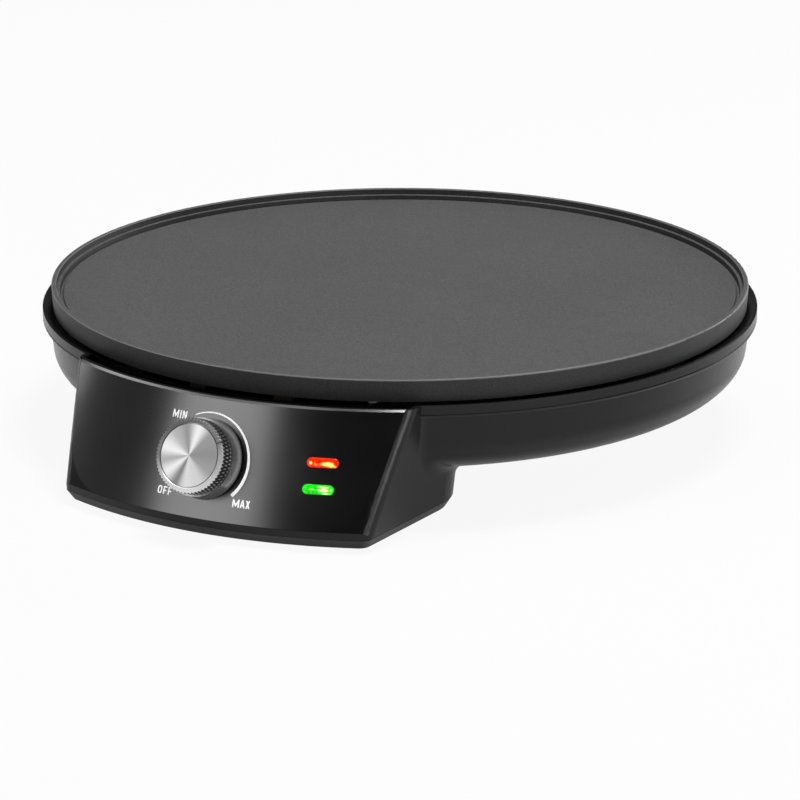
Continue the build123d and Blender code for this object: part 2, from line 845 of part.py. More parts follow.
# ---------------------------------------------------------------- control knob
with BuildPart() as knob_hub:
    core = knob_ring_radius - knob_wall
    ceiling = knob_height - knob_recess
    with BuildSketch(knob_section):
        with BuildLine():
            Polyline(
                (0, knob_lift + knob_wall),
                (knob_hub_radius, knob_lift + knob_wall),
                (knob_hub_radius, ceiling - knob_wall),
                (core - knob_wall, ceiling - knob_wall),
                (core - knob_wall, knob_skirt_height - knob_wall),
                (knob_skirt_radius - knob_wall, knob_skirt_height - knob_wall),
                (knob_skirt_radius - knob_wall, knob_lift),
                (knob_skirt_radius, knob_lift),
                (knob_skirt_radius - knob_skirt_draft, knob_skirt_height),
                (core, knob_skirt_height),
                (core, ceiling),
                (0, ceiling),
                close=True,
            )
        make_face()
    revolve(axis=knob_axis)
    with BuildSketch(pointer_plane):
        Circle(shaft_radius + running_gap)
        with Locations((0, shaft_flat + leaf_gap + shaft_radius)):
            Rectangle(4 * shaft_radius, 2 * shaft_radius, mode=Mode.SUBTRACT)
    extrude(amount=shaft_end + running_gap, mode=Mode.SUBTRACT)
write(knob_hub.part, "knob_hub")

with BuildPart() as knob_ring:
    with BuildSketch(knob_section):
        with BuildLine():
            Polyline(
                (core + running_gap, knob_skirt_height),
                (knob_ring_radius, knob_skirt_height),
                (knob_ring_radius, knurl_top),
                (knob_ring_radius - knob_chamfer, knob_height),
                (knob_face_radius + running_gap, knob_height),
                (knob_face_radius + running_gap, ceiling),
                (core + running_gap, ceiling),
                close=True,
            )
        make_face()
    revolve(axis=knob_axis)
    with BuildSketch(pointer_plane.offset(knob_skirt_height + knurl_margin)):
        with PolarLocations(knob_ring_radius, knurl_count, start_angle=90):
            RegularPolygon(knurl_depth, 4)
    extrude(amount=knurl_top - knob_skirt_height - 2 * knurl_margin, mode=Mode.SUBTRACT)
    with BuildSketch(pointer_plane.offset(knob_height)):
        with Locations((0, knob_ring_radius - knob_chamfer / 2)):
            Rectangle(pointer_width, knob_chamfer)
    extrude(amount=-knob_chamfer_height - pointer_width, mode=Mode.SUBTRACT)
write(knob_ring.part, "knob_ring")

with BuildPart() as knob_face:
    with BuildSketch(knob_plane.offset(ceiling)):
        Circle(knob_face_radius)
    extrude(amount=knob_face_thickness)
    fillet(knob_face.edges().sort_by(knob_axis)[-1], knob_face_thickness / 4)
write(knob_face.part, "knob_face")

with BuildPart() as knob_spring:
    with BuildSketch(pointer_plane.offset(leaf_low)):
        with Locations((0, shaft_flat + leaf_gap / 2)):
            Rectangle(leaf_width, leaf_gap - 2 * running_gap)
    extrude(amount=shaft_end - leaf_low - leaf_gap)
write(knob_spring.part, "knob_spring")

with BuildPart() as thermostat_shaft:
    with BuildSketch(pointer_plane.offset(cam_front)):
        Circle(cam_radius)
    extrude(amount=-cam_thickness)
    with BuildSketch(pointer_plane.offset(cam_front)):
        Circle(shaft_radius)
    extrude(amount=shaft_end - cam_front)
    with BuildSketch(pointer_plane.offset(shaft_end)):
        with Locations((0, shaft_flat + shaft_radius)):
            Rectangle(4 * shaft_radius, 2 * shaft_radius)
    extrude(amount=-shaft_end, mode=Mode.SUBTRACT)
write(thermostat_shaft.part, "thermostat_shaft")

# ---------------------------------------------------------------- thermostat behind the panel
tab_screw_places = [
    (thermostat_width / 2 - boss_radius, thermostat_height / 2 - boss_radius),
    (boss_radius - thermostat_width / 2, boss_radius - thermostat_height / 2),
]

with BuildPart() as thermostat_body:
    with BuildSketch(knob_plane.offset(thermostat_front)):
        RectangleRounded(thermostat_width, thermostat_height, boss_radius)
    extrude(amount=-thermostat_depth)
    with BuildSketch(knob_plane.offset(cam_front + cam_gap)):
        Circle(cam_radius + cam_gap)
    extrude(amount=-cam_thickness - 2 * cam_gap, mode=Mode.SUBTRACT)
    with BuildSketch(knob_plane.offset(thermostat_front)):
        Circle(shaft_radius + running_gap)
        with Locations(*tab_screw_places):
            Circle(screw_hole)
    extrude(amount=-(thermostat_front - cam_front), mode=Mode.SUBTRACT)
    with BuildSketch(knob_plane.offset(thermostat_front)):
        with Locations(*tab_screw_places):
            Circle(screw_hole)
    extrude(amount=-short_screw_length, mode=Mode.SUBTRACT)
write(thermostat_body.part, "thermostat_body")

with BuildPart() as thermostat_bracket:
    with BuildSketch(knob_plane.offset(bracket_front)):
        RectangleRounded(bracket_width, bracket_height, boss_radius)
        Circle(shaft_hole_radius, mode=Mode.SUBTRACT)
        with Locations(*bracket_boss_places, *tab_screw_places):
            Circle(screw_hole, mode=Mode.SUBTRACT)
    extrude(amount=-bracket_thickness)
write(thermostat_bracket.part, "thermostat_bracket")

with BuildPart() as thermostat_screws:
    for x, y in tab_screw_places:
        add(screw(shifted(knob_plane.offset(bracket_front), x, y), short_screw_length))
write(thermostat_screws.part, "thermostat_screws")

with BuildPart() as thermostat_blades:
    with BuildSketch(knob_plane.offset(thermostat_back)):
        with Locations((-blade_spread, 0), (blade_spread, 0)):
            Rectangle(blade_width, blade_thickness)
    extrude(amount=-blade_length)
write(thermostat_blades.part, "thermostat_blades")

# ---------------------------------------------------------------- indicator lamps
def lens(plane):
    """Stadium-shaped lens with a domed front and a lip behind the panel."""
    with BuildPart() as window:
        with BuildSketch(plane.offset(-panel_thickness - lens_seat)):
            SlotOverall(lens_length, lens_height)
        extrude(amount=panel_thickness + lens_seat + lens_dome)
        fillet(window.faces().sort_by(Axis(plane.origin, plane.z_dir))[-1].edges(), lens_dome * 0.9)
        with BuildSketch(plane.offset(-panel_thickness - lens_seat)):
            SlotOverall(lens_length + 2 * lens_lip, lens_height + 2 * lens_lip)
        extrude(amount=-lens_lip)
    return window.part


write(lens(red_plane), "red_lens")
write(lens(green_plane), "green_lens")

holder_front = -panel_thickness - lens_seat - lens_lip - lens_seat
lamp_places = [(0, lamp_offset), (0, -lamp_offset)]

with BuildPart() as lamp_holder:
    with BuildSketch(lamp_plane.offset(holder_front)):
        RectangleRounded(lens_length + 2 * lens_lip, 4 * lamp_radius + 2 * lamp_offset, lens_lip)
    extrude(amount=-lamp_length - lens_lip)
    with BuildSketch(lamp_plane.offset(bracket_front)):
        SlotOverall(2 * (holder_boss_x + boss_radius), 2 * boss_radius)
    extrude(amount=-bracket_thickness)
    with BuildSketch(lamp_plane.offset(holder_front)):
        with Locations(*lamp_places):
            Circle(lamp_radius + running_gap)
        with Locations(*holder_boss_places):
            Circle(screw_hole)
    extrude(amount=-2 * lamp_length, mode=Mode.SUBTRACT)
write(lamp_holder.part, "lamp_holder")

with BuildPart() as neon_lamps:
    with BuildSketch(lamp_plane.offset(holder_front)):
        with Locations(*lamp_places):
            Circle(lamp_radius)
    extrude(amount=-lamp_length)
write(neon_lamps.part, "neon_lamps")


def panel_screw_plane(plane):
    """Plane behind the brackets, where the heads of the screws into the panel sit."""
    return reversed_plane(plane, bracket_front - bracket_thickness)


with BuildPart() as panel_screws:
    for x, y in bracket_boss_places:
        add(screw(shifted(panel_screw_plane(knob_plane), x, y), short_screw_length))
    for x, y in holder_boss_places:
        add(screw(shifted(panel_screw_plane(lamp_plane), x, y), short_screw_length))
write(panel_screws.part, "panel_screws")

# ---------------------------------------------------------------- below the plate
end_angle = radians(element_end_angle)
element_ends = []
for sign in (-1, 1):
    outwards = Vector(sign * sin(end_angle), -cos(end_angle), 0)
    element_ends.append(
        Plane(
            origin=outwards * element_end_reach + Vector(0, plate_axis_y, tube_height),
            x_dir=(0, 0, 1),
            z_dir=outwards,
        )
    )

with BuildPart() as element_insulators:
    for end in element_ends:
        with BuildSketch(end):
            Circle(element_tube - contact_gap)
        extrude(amount=insulator_length)
    fillet(element_insulators.edges().filter_by(GeomType.CIRCLE), insulator_round)
write(element_insulators.part, "element_insulators")

with BuildPart() as element_blades:
    for end in element_ends:
        with BuildSketch(end.offset(insulator_length)):
            Rectangle(blade_thickness, blade_width)
        extrude(amount=blade_length)
write(element_blades.part, "element_blades")


def strap_plane(angle, reach, height):
    """Plane below the plate whose local x runs outwards at an angle round the plate's axis."""
    turn = radians(angle)
    outwards = Vector(cos(turn), sin(turn), 0)
    return Plane(
        origin=outwards * reach + Vector(0, plate_axis_y, height), x_dir=outwards, z_dir=(0, 0, 1)
    )


with BuildPart() as element_clamps:
    for angle in clamp_places:
        with BuildSketch(strap_plane(angle, element_radius, strap_top)):
            RectangleRounded(clamp_length, clamp_width, screw_radius)
            with Locations((-clamp_screw_offset, 0), (clamp_screw_offset, 0)):
                Circle(screw_hole, mode=Mode.SUBTRACT)
        extrude(amount=-strap_thickness)
write(element_clamps.part, "element_clamps")

with BuildPart() as probe_clips:
    for x, y in clip_centres:
        with BuildSketch(base.offset(clip_top)):
            with Locations((x, y - clip_screw_reach / 2)):
                RectangleRounded(clamp_width, clip_screw_reach + 4 * probe_radius, screw_radius)
            with Locations((x, y - clip_screw_reach)):
                Circle(screw_hole, mode=Mode.SUBTRACT)
        extrude(amount=-strap_thickness)
write(probe_clips.part, "probe_clips")

with BuildPart() as clamp_screws:
    for angle in clamp_places:
        for reach in clamp_reaches:
            place = base.to_local_coords(strap_plane(angle, reach, strap_top - strap_thickness).origin)
            add(screw(flipped(place.X, place.Y, place.Z), short_screw_length))
    for x, y in clip_screws_at:
        add(screw(flipped(x, y, clip_top - strap_thickness), short_screw_length - strap_thickness))
write(clamp_screws.part, "clamp_screws")

with BuildPart() as earth_terminal:
    with BuildSketch(base.offset(strap_top)):
        with Locations((earth_x, -earth_reach)):
            Circle(boss_radius)
        with Locations((earth_x, -earth_reach - earth_tail / 2)):
            Rectangle(earth_tail_width, earth_tail)
        with Locations((earth_x, -earth_reach)):
            Circle(screw_hole, mode=Mode.SUBTRACT)
    extrude(amount=-blade_thickness)
    with BuildSketch(base.offset(strap_top - blade_thickness)):
        with Locations((earth_x, -earth_reach - earth_tail)):
            Circle(earth_barrel_radius)
    extrude(amount=-earth_barrel)
write(earth_terminal.part, "earth_terminal")

with BuildPart() as earth_screw:
    add(screw(flipped(earth_x, -earth_reach, strap_top - blade_thickness), short_screw_length))
write(earth_screw.part, "earth_screw")

with BuildPart() as heat_reflector:
    with BuildSketch(section):
        with BuildLine():
            Polyline(
                (0, reflector_bottom),
                (reflector_radius, reflector_bottom),
                (reflector_radius, reflector_height + reflector_rim),
                (reflector_radius - reflector_sheet, reflector_height + reflector_rim),
                (reflector_radius - reflector_sheet, reflector_height),
                (0, reflector_height),
                close=True,
            )
        make_face()
    revolve(axis=plate_axis)
    with BuildSketch(base.offset(reflector_bottom)):
        with PolarLocations(post_reach, 3, start_angle=post_angle):
            Circle(plate_screw_radius + head_gap)
        with Locations((0, -notch_reach - reflector_radius)):
            Rectangle(2 * notch_half_width, 2 * reflector_radius)
    extrude(amount=2 * reflector_rim, mode=Mode.SUBTRACT)
write(heat_reflector.part, "heat_reflector")

with BuildPart() as plate_posts:
    with BuildSketch(base.offset(bowl_floor)):
        with PolarLocations(post_reach, 3, start_angle=post_angle):
            RegularPolygon(post_across / 2, 6, major_radius=False)
    extrude(amount=reflector_bottom - bowl_floor)
    with BuildSketch(base.offset(reflector_bottom)):
        with PolarLocations(post_reach, 3, start_angle=post_angle):
            Circle(plate_screw_radius)
    extrude(amount=post_stud)
    with BuildSketch(base.offset(bowl_floor)):
        with PolarLocations(post_reach, 3, start_angle=post_angle):
            Circle(plate_screw_radius + screw_gap)
    extrude(amount=post_stud, mode=Mode.SUBTRACT)
write(plate_posts.part, "plate_posts")

with BuildPart() as plate_screws:
    for turn in range(3):
        place = strap_plane(post_angle + 120 * turn, post_reach, 0).origin
        add(
            screw(
                flipped(place.X, place.Y - plate_axis_y, bowl_bottom),
                post_stud,
                plate_screw_radius,
                plate_screw_head,
                plate_screw_head_height,
            )
        )
write(plate_screws.part, "plate_screws")

capillary_end = base.to_local_coords(
    knob_plane.from_local_coords((-thermostat_width / 2, 0, thermostat_front - thermostat_depth / 2))
)
capillary_points = [
    (probe_x - probe_length / 2, -probe_reach, probe_height),
    (probe_x - probe_length / 2 - 5, -probe_reach - 1, probe_height - 1),
    (-60, -77, 50.5),
    (-57, -88, 48.4),
    (-50, -100, 48.2),
    (-42, -111, 47),
    (-36, -120, 40),
    (-30, -130, 31),
    (-25, -141, 26),
    (-22, -150, 24.9),
    capillary_end - Vector(5.3, 0, 0),
    capillary_end,
]


def rod_plane(x, y):
    """Plane that faces +X below the plate, at the height of the probe and the fuse."""
    return Plane(origin=(x, plate_axis_y + y, probe_height), z_dir=(1, 0, 0))


with BuildPart() as thermostat_probe:
    with BuildSketch(rod_plane(probe_x - probe_length / 2, -probe_reach)):
        Circle(probe_radius)
    extrude(amount=probe_length)
    add(lead(capillary_points, capillary_radius))
write(thermostat_probe.part, "thermostat_probe")

with BuildPart() as thermal_fuse:
    with BuildSketch(rod_plane(fuse_x - fuse_length / 2, -fuse_reach)):
        Circle(probe_radius)
    extrude(amount=fuse_length)
write(thermal_fuse.part, "thermal_fuse")

# ---------------------------------------------------------------- terminals and leads
poles = [block_x - pole_spacing, block_x, block_x + pole_spacing]
block_front = block_reach + block_width / 2
block_front_plane = Plane(origin=(0, plate_axis_y - block_front, 0), x_dir=(1, 0, 0), z_dir=(0, -1, 0))
lead_entry = block_front - pole_stop
main_height = pole_height - pole_radius + lead_radius + 0.15
lamp_height = pole_height + pole_radius - lamp_lead_radius - 0.6

with BuildPart() as terminal_block:
    with BuildSketch(base.offset(pad_top)):
        with Locations((block_x, -block_reach)):
            RectangleRounded(block_length, block_width, 1)
    extrude(amount=block_height)
    with BuildSketch(block_front_plane):
        for x in poles:
            with Locations((x, pole_height)):
                Circle(pole_radius)
    extrude(amount=-block_width, mode=Mode.SUBTRACT)
    with BuildSketch(base.offset(pad_top)):
        with Locations((block_x, -block_reach)):
            Circle(screw_hole)
    extrude(amount=short_screw_length, mode=Mode.SUBTRACT)
    with BuildSketch(base.offset(pad_top + block_height)):
        for x in poles:
            with Locations((x, -block_reach)):
                Circle(screw_radius)
    extrude(amount=-(pad_top + block_height - pole_height - pole_radius) / 2, mode=Mode.SUBTRACT)
write(terminal_block.part, "terminal_block")

with BuildPart() as terminal_barrels:
    with BuildSketch(block_front_plane.offset(-pole_stop - contact_gap)):
        for x in poles:
            with Locations((x, pole_height)):
                Circle(pole_radius - contact_gap)
                Circle(pole_radius - contact_gap - barrel_wall, mode=Mode.SUBTRACT)
    extrude(amount=-block_width / 2)
write(terminal_barrels.part, "terminal_barrels")

blade_planes = [
    shifted(reversed_plane(knob_plane, thermostat_back), sign * blade_spread, 0) for sign in (-1, 1)
]
element_blade_planes = [
    Plane(origin=end.from_local_coords((0, 0, insulator_length)), x_dir=end.y_dir, z_dir=end.z_dir)
    for end in element_ends
]

with BuildPart() as lead_receptacles:
    for plane in blade_planes + element_blade_planes:
        with BuildSketch(plane.offset(receptacle_gap)):
            RectangleRounded(blade_width + 2 * receptacle_wall, blade_thickness * 4, receptacle_wall)
        extrude(amount=blade_length + receptacle_gap)
        with BuildSketch(plane.offset(receptacle_gap)):
            Rectangle(blade_width + 2 * contact_gap, blade_thickness + 2 * contact_gap)
        extrude(amount=blade_length - receptacle_gap + contact_gap, mode=Mode.SUBTRACT)
write(lead_receptacles.part, "lead_receptacles")

receptacle_end = blade_length + 2 * receptacle_gap
element_joints = [
    base.to_local_coords(plane.from_local_coords((0, 0, receptacle_gap + blade_length / 2)))
    - Vector(0, 0, 2 * blade_thickness)
    for plane in element_blade_planes
]
thermostat_joints = [
    base.to_local_coords(plane.from_local_coords((0, 0, receptacle_end))) for plane in blade_planes
]
lamp_ends = [
    base.to_local_coords(lamp_plane.from_local_coords((x, y, holder_front - lamp_length - 0.1)))
    for x, y in lamp_places
]


def ahead(place, plane, distance):
    """Point straight out from a place along a plane's normal."""
    return place + plane.z_dir * distance


heater_lead_points = [
    thermostat_joints[0],
    ahead(thermostat_joints[0], blade_planes[0], 7),
    (-14, -126.5, 16),
    (-20, -127, 26),
    (-22, -133, 38),
    element_joints[0] - Vector(0, 0, 7),
    element_joints[0],
]
live_lead_points = [
    thermostat_joints[1],
    ahead(thermostat_joints[1], blade_planes[1], 7),
    (13, -126.5, 12.5),
    (21, -122, main_height + 0.2),
    (poles[0], -block_front - 5.5, main_height),
    (poles[0], -lead_entry, main_height),
]
neutral_lead_points = [
    (poles[1], -lead_entry, main_height),
    (poles[1], -block_front - 5, main_height),
    (38.5, -121, 15),
    (42, -122.5, 26),
    (41, -120, 38),
    (39, -112, 47.2),
    (38, -98, 48.3),
    (41, -88, 49.6),
    (45, -81.5, 53),
    (fuse_x + fuse_length / 2 + 4, -fuse_reach, probe_height),
    (fuse_x + fuse_length / 2, -fuse_reach, probe_height),
]
fuse_lead_points = [
    (fuse_x - fuse_length / 2, -fuse_reach, probe_height),
    (fuse_x - fuse_length / 2 - 5, -fuse_reach, probe_height),
    (-1, -86, 52),
    (-1, -98, 49.5),
    (5, -114, 47),
    (12, -128, 43),
    (17, -137, 41),
    element_joints[1] - Vector(0, 0, 8),
    element_joints[1],
]
earth_lead_points = [
    (poles[2], -lead_entry, main_height),
    (poles[2], -block_front - 5, main_height),
    (48, -122, 17),
    (51.5, -125, 28),
    (earth_x, -earth_reach - earth_tail, 37),
    (earth_x, -earth_reach - earth_tail, strap_top - blade_thickness - earth_barrel),
]
red_lead_points = [
    lamp_ends[0],
    ahead(lamp_ends[0], lamp_plane, -6.5),
    (38, -138, 24.5),
    (32, -128, 20.5),
    (33.5, -119, 15.2),
    (poles[1], -block_front - 3, lamp_height),
    (poles[1], -lead_entry, lamp_height),
]
green_lead_points = [
    lamp_ends[1],
    ahead(lamp_ends[1], lamp_plane, -6.5),
    (38, -140, 15.2),
    (29, -130, 16),
    (25.6, -119, 15),
    (poles[0], -block_front - 3, lamp_height),
    (poles[0], -lead_entry, lamp_height),
]

write(lead(heater_lead_points, lead_radius), "heater_lead")
write(lead(live_lead_points, lead_radius), "live_lead")
write(lead(neutral_lead_points, lead_radius), "neutral_lead")
write(lead(fuse_lead_points, lead_radius), "fuse_lead")
write(lead(earth_lead_points, lead_radius), "earth_lead")
write(lead(red_lead_points, lamp_lead_radius), "red_lamp_lead")
write(lead(green_lead_points, lamp_lead_radius), "green_lamp_lead")
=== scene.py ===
import json
from math import copysign, cos, pi, radians, sin, tan

import bpy
from mathutils import Matrix, Vector


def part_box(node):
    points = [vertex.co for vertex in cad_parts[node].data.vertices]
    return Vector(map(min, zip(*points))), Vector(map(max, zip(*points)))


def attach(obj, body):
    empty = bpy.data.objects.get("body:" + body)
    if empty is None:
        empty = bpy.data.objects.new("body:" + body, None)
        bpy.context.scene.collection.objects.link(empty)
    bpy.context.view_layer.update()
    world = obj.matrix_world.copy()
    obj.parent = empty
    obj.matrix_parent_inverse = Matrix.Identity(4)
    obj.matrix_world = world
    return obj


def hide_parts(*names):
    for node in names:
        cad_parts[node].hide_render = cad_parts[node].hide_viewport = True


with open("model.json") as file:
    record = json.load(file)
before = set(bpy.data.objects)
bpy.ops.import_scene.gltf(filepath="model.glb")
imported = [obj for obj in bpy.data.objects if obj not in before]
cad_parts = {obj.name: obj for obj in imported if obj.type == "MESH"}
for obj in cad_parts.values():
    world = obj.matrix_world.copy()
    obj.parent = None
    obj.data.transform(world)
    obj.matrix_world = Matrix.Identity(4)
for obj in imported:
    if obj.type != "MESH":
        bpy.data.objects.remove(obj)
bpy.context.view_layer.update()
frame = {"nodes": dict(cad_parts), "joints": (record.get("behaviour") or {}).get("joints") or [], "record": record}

# ---------------------------------------------------------------- measures, metres
MM = 0.001
scene = bpy.context.scene
plate_low, plate_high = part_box("cooking_plate")

PLATE_AXIS = Vector((0, (plate_low.y + plate_high.y) / 2, 0))
PLATE_TOP = plate_high.z
PANEL_TILT = radians(22)
PANEL_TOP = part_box("front_panel")[1].z

knob_joint = frame["joints"][0]
KNOB_CENTRE = Vector(knob_joint["pos_m"])
KNOB_OUT = -Vector(knob_joint["axis"]).normalized()
KNOB_SLANT = (PANEL_TOP - KNOB_CENTRE.z) / cos(PANEL_TILT)
PANEL_TOP_RADIUS = PLATE_AXIS.y - KNOB_CENTRE.y - (PANEL_TOP - KNOB_CENTRE.z) * tan(PANEL_TILT)

# The knob's heights are above the panel's face.
RING_RADIUS = 16.0 * MM
RING_LOW = 8.0 * MM
RING_HIGH = 15.4 * MM
CHAMFER_WIDTH = 2.4 * MM
CHAMFER_HEIGHT = 1.2 * MM
KNURL_HIGH = RING_HIGH - CHAMFER_HEIGHT
KNURL_COUNT = 62
KNURL_ROWS = 2
KNURL_DEPTH = 0.75 * MM
DISC_RADIUS = 13.25 * MM
DISC_GAP = 0.3 * MM


def standing(place, right, out):
    """Frame of a piece at a place: X to the right, Z out of the surface that it stands on."""
    return Matrix.Translation(place) @ Matrix((right, out.cross(right), out)).transposed().to_4x4()


def panel_radius(slant):
    """Distance of the panel's face from the plate's axis, a slant below its top edge."""
    return PANEL_TOP_RADIUS + slant * sin(PANEL_TILT)


def panel_matrix(arc, slant):
    """Frame on the panel's face, an arc to the right of its middle and a slant below its top edge."""
    turn = arc / panel_radius(slant)
    around = Vector((sin(turn), -cos(turn), 0))
    place = PLATE_AXIS + around * panel_radius(slant)
    place.z = PANEL_TOP - slant * cos(PANEL_TILT)
    out = around * cos(PANEL_TILT) + Vector((0, 0, sin(PANEL_TILT)))
    return standing(place, Vector((cos(turn), sin(turn), 0)), out)


KNOB_MATRIX = standing(KNOB_CENTRE, Vector((1, 0, 0)), KNOB_OUT)

# ---------------------------------------------------------------- camera
CAMERA_AZIMUTH = radians(27.45)
CAMERA_ELEVATION = radians(16.71)
CAMERA_DISTANCE = 2.0
TARGET_HEIGHT = 0.040
PICTURE_SIZE = 800
FOCAL_PIXELS = 4470.9
TARGET_ROW = 333.2
SENSOR_WIDTH = 36.0

TARGET = PLATE_AXIS + Vector((0, 0, TARGET_HEIGHT))


def direction(azimuth, elevation):
    """Unit vector from the part towards a place round it; azimuth 0 is in front, positive to the right."""
    return Vector((sin(azimuth) * cos(elevation), -cos(azimuth) * cos(elevation), sin(elevation)))


def facing(place, target):
    """Rotation of a camera or lamp at a place that looks at a target."""
    return (target - place).to_track_quat("-Z", "Y").to_euler()


def make_camera():
    """Camera whose picture shows the target in its middle column, on the target's row."""
    camera_up = direction(CAMERA_AZIMUTH + pi, pi / 2 - CAMERA_ELEVATION)
    drop = CAMERA_DISTANCE * (PICTURE_SIZE / 2 - TARGET_ROW) / FOCAL_PIXELS
    data = bpy.data.cameras.new("camera")
    data.sensor_width = SENSOR_WIDTH
    data.lens = FOCAL_PIXELS / PICTURE_SIZE * SENSOR_WIDTH
    camera = bpy.data.objects.new("camera", data)
    scene.collection.objects.link(camera)
    camera.location = TARGET + direction(CAMERA_AZIMUTH, CAMERA_ELEVATION) * CAMERA_DISTANCE
    camera.rotation_euler = facing(camera.location, TARGET - camera_up * drop)
    scene.camera = camera


# ---------------------------------------------------------------- shader nodes
def new_material(name):
    """Node material with a Principled shader: the material, its tree, its shader and object coordinates."""
    material = bpy.data.materials.new(name)
    material.use_nodes = True
    tree = material.node_tree
    shader = tree.nodes["Principled BSDF"]
    place = tree.nodes.new("ShaderNodeTexCoord").outputs["Object"]
    return material, tree, shader, place


def grey(value):
    return (value, value, value, 1)


def shaded(color, factor):
    """Colour made darker or lighter by a factor."""
    return (*[value * factor for value in color[:3]], 1)


def plain(shader, color, roughness, metallic=0.0, specular=0.5):
    """Sets the shader values that are the same all over a surface."""
    shader.inputs["Base Color"].default_value = color
    shader.inputs["Roughness"].default_value = roughness
    shader.inputs["Metallic"].default_value = metallic
    shader.inputs["Specular IOR Level"].default_value = specular


def feed(tree, value, socket):
    """Links a field to a socket, or sets the socket to a number or colour."""
    if isinstance(value, bpy.types.NodeSocket):
        tree.links.new(value, socket)
    else:
        socket.default_value = value


def paint(tree, shader, color):
    tree.links.new(color, shader.inputs["Base Color"])


def mapped(tree, place, scale, location=(0, 0, 0)):
    """Coordinates scaled along each axis and then moved."""
    mapping = tree.nodes.new("ShaderNodeMapping")
    mapping.inputs["Scale"].default_value = scale
    mapping.inputs["Location"].default_value = location
    tree.links.new(place, mapping.inputs["Vector"])
    return mapping.outputs["Vector"]


def coordinate(tree, vector, axis):
    """One coordinate of a vector."""
    parts = tree.nodes.new("ShaderNodeSeparateXYZ")
    tree.links.new(vector, parts.inputs["Vector"])
    return parts.outputs[axis]


def length_of(tree, vector):
    node = tree.nodes.new("ShaderNodeVectorMath")
    node.operation = "LENGTH"
    tree.links.new(vector, node.inputs[0])
    return node.outputs["Value"]


def noise(tree, place, size, detail=2, roughness=0.5, stretch=None):
    """Noise over object coordinates with spots of a size, and with a stretch along each axis if given."""
    if stretch:
        place = mapped(tree, place, stretch)
    texture = tree.nodes.new("ShaderNodeTexNoise")
    texture.inputs["Scale"].default_value = 1 / size
    texture.inputs["Detail"].default_value = detail
    texture.inputs["Roughness"].default_value = roughness
    tree.links.new(place, texture.inputs["Vector"])
    return texture.outputs["Fac"]


def color_ramp(tree, value, stops, interpolation="LINEAR"):
    """Colour along a field from stops of (position, colour), in order."""
    node = tree.nodes.new("ShaderNodeValToRGB")
    node.color_ramp.interpolation = interpolation
    elements = node.color_ramp.elements
    elements[0].position, elements[0].color = stops[0]
    elements[1].position, elements[1].color = stops[-1]
    for position, color in stops[1:-1]:
        elements.new(position).color = color
    tree.links.new(value, node.inputs["Fac"])
    return node.outputs["Color"]


def ramp(tree, value, span, low_color, high_color):
    """Colour that runs between two as a field runs over a span."""
    return color_ramp(tree, value, [(span[0], low_color), (span[1], high_color)])


def spread(tree, value, span, limits=(0, 1)):
    """Number that runs between two limits as a field runs over a span."""
    node = tree.nodes.new("ShaderNodeMapRange")
    node.inputs["From Min"].default_value, node.inputs["From Max"].default_value = span
    node.inputs["To Min"].default_value, node.inputs["To Max"].default_value = limits
    tree.links.new(value, node.inputs["Value"])
    return node.outputs["Result"]


def together(tree, operation, values):
    """Fields and numbers put together one after the other by a math operation."""
    total = values[0]
    for value in values[1:]:
        node = tree.nodes.new("ShaderNodeMath")
        node.operation = operation
        feed(tree, total, node.inputs[0])
        feed(tree, value, node.inputs[1])
        total = node.outputs["Value"]
    return total


def mixed(tree, factor, first, second, blend="MIX"):
    """Colour that goes from a first to a second as a factor goes from 0 to 1."""
    mix = tree.nodes.new("ShaderNodeMix")
    mix.data_type = "RGBA"
    mix.blend_type = blend
    for value, socket in ((factor, "Factor"), (first, "A"), (second, "B")):
        feed(tree, value, mix.inputs[socket])
    return mix.outputs["Result"]


def surface(tree, share, first, second, output):
    """Sends two shaders to the output, from the first to the second as a share goes from 0 to 1."""
    mix = tree.nodes.new("ShaderNodeMixShader")
    tree.links.new(share, mix.inputs["Fac"])
    tree.links.new(first, mix.inputs[1])
    tree.links.new(second, mix.inputs[2])
    tree.links.new(mix.outputs["Shader"], tree.nodes[output].inputs["Surface"])


def bump(tree, shader, height, depth):
    """Bump of a given depth in metres."""
    node = tree.nodes.new("ShaderNodeBump")
    node.inputs["Strength"].default_value = 1.0
    node.inputs["Distance"].default_value = depth
    tree.links.new(height, node.inputs["Height"])
    tree.links.new(node.outputs["Normal"], shader.inputs["Normal"])


# ---------------------------------------------------------------- materials
# Most of a noise field lies in this span.
FIELD = (0.3, 0.7)

# The coating's greys are those of its ground and of its pale grains; the walls' pair is darker, as painted shade.
COATING_TOP = (0.05, 0.15)
COATING_WALL_SHADED = (0.012, 0.034)
COATING_GRAIN_SIZE = 0.55 * MM
COATING_GRAIN_SPAN = (0.42, 0.74)
COATING_PATCH_SIZE = 60 * MM
COATING_ROUGHNESS = (0.46, 0.54)
COATING_DEPTH = 0.03 * MM

# Spans of a surface's upward share, which is 0 on a wall and 1 on a flat top. The edge spans and drop mark the
# rim's rounded edge, where a highlight is painted light.
WALL_TO_TOP = (0.35, 0.85)
EDGE_BEGINS = (0.15, 0.4)
EDGE_ENDS = (0.8, 0.97)
EDGE_DROP = 1.0 * MM
RIM_HIGHLIGHT_GREY = 0.16


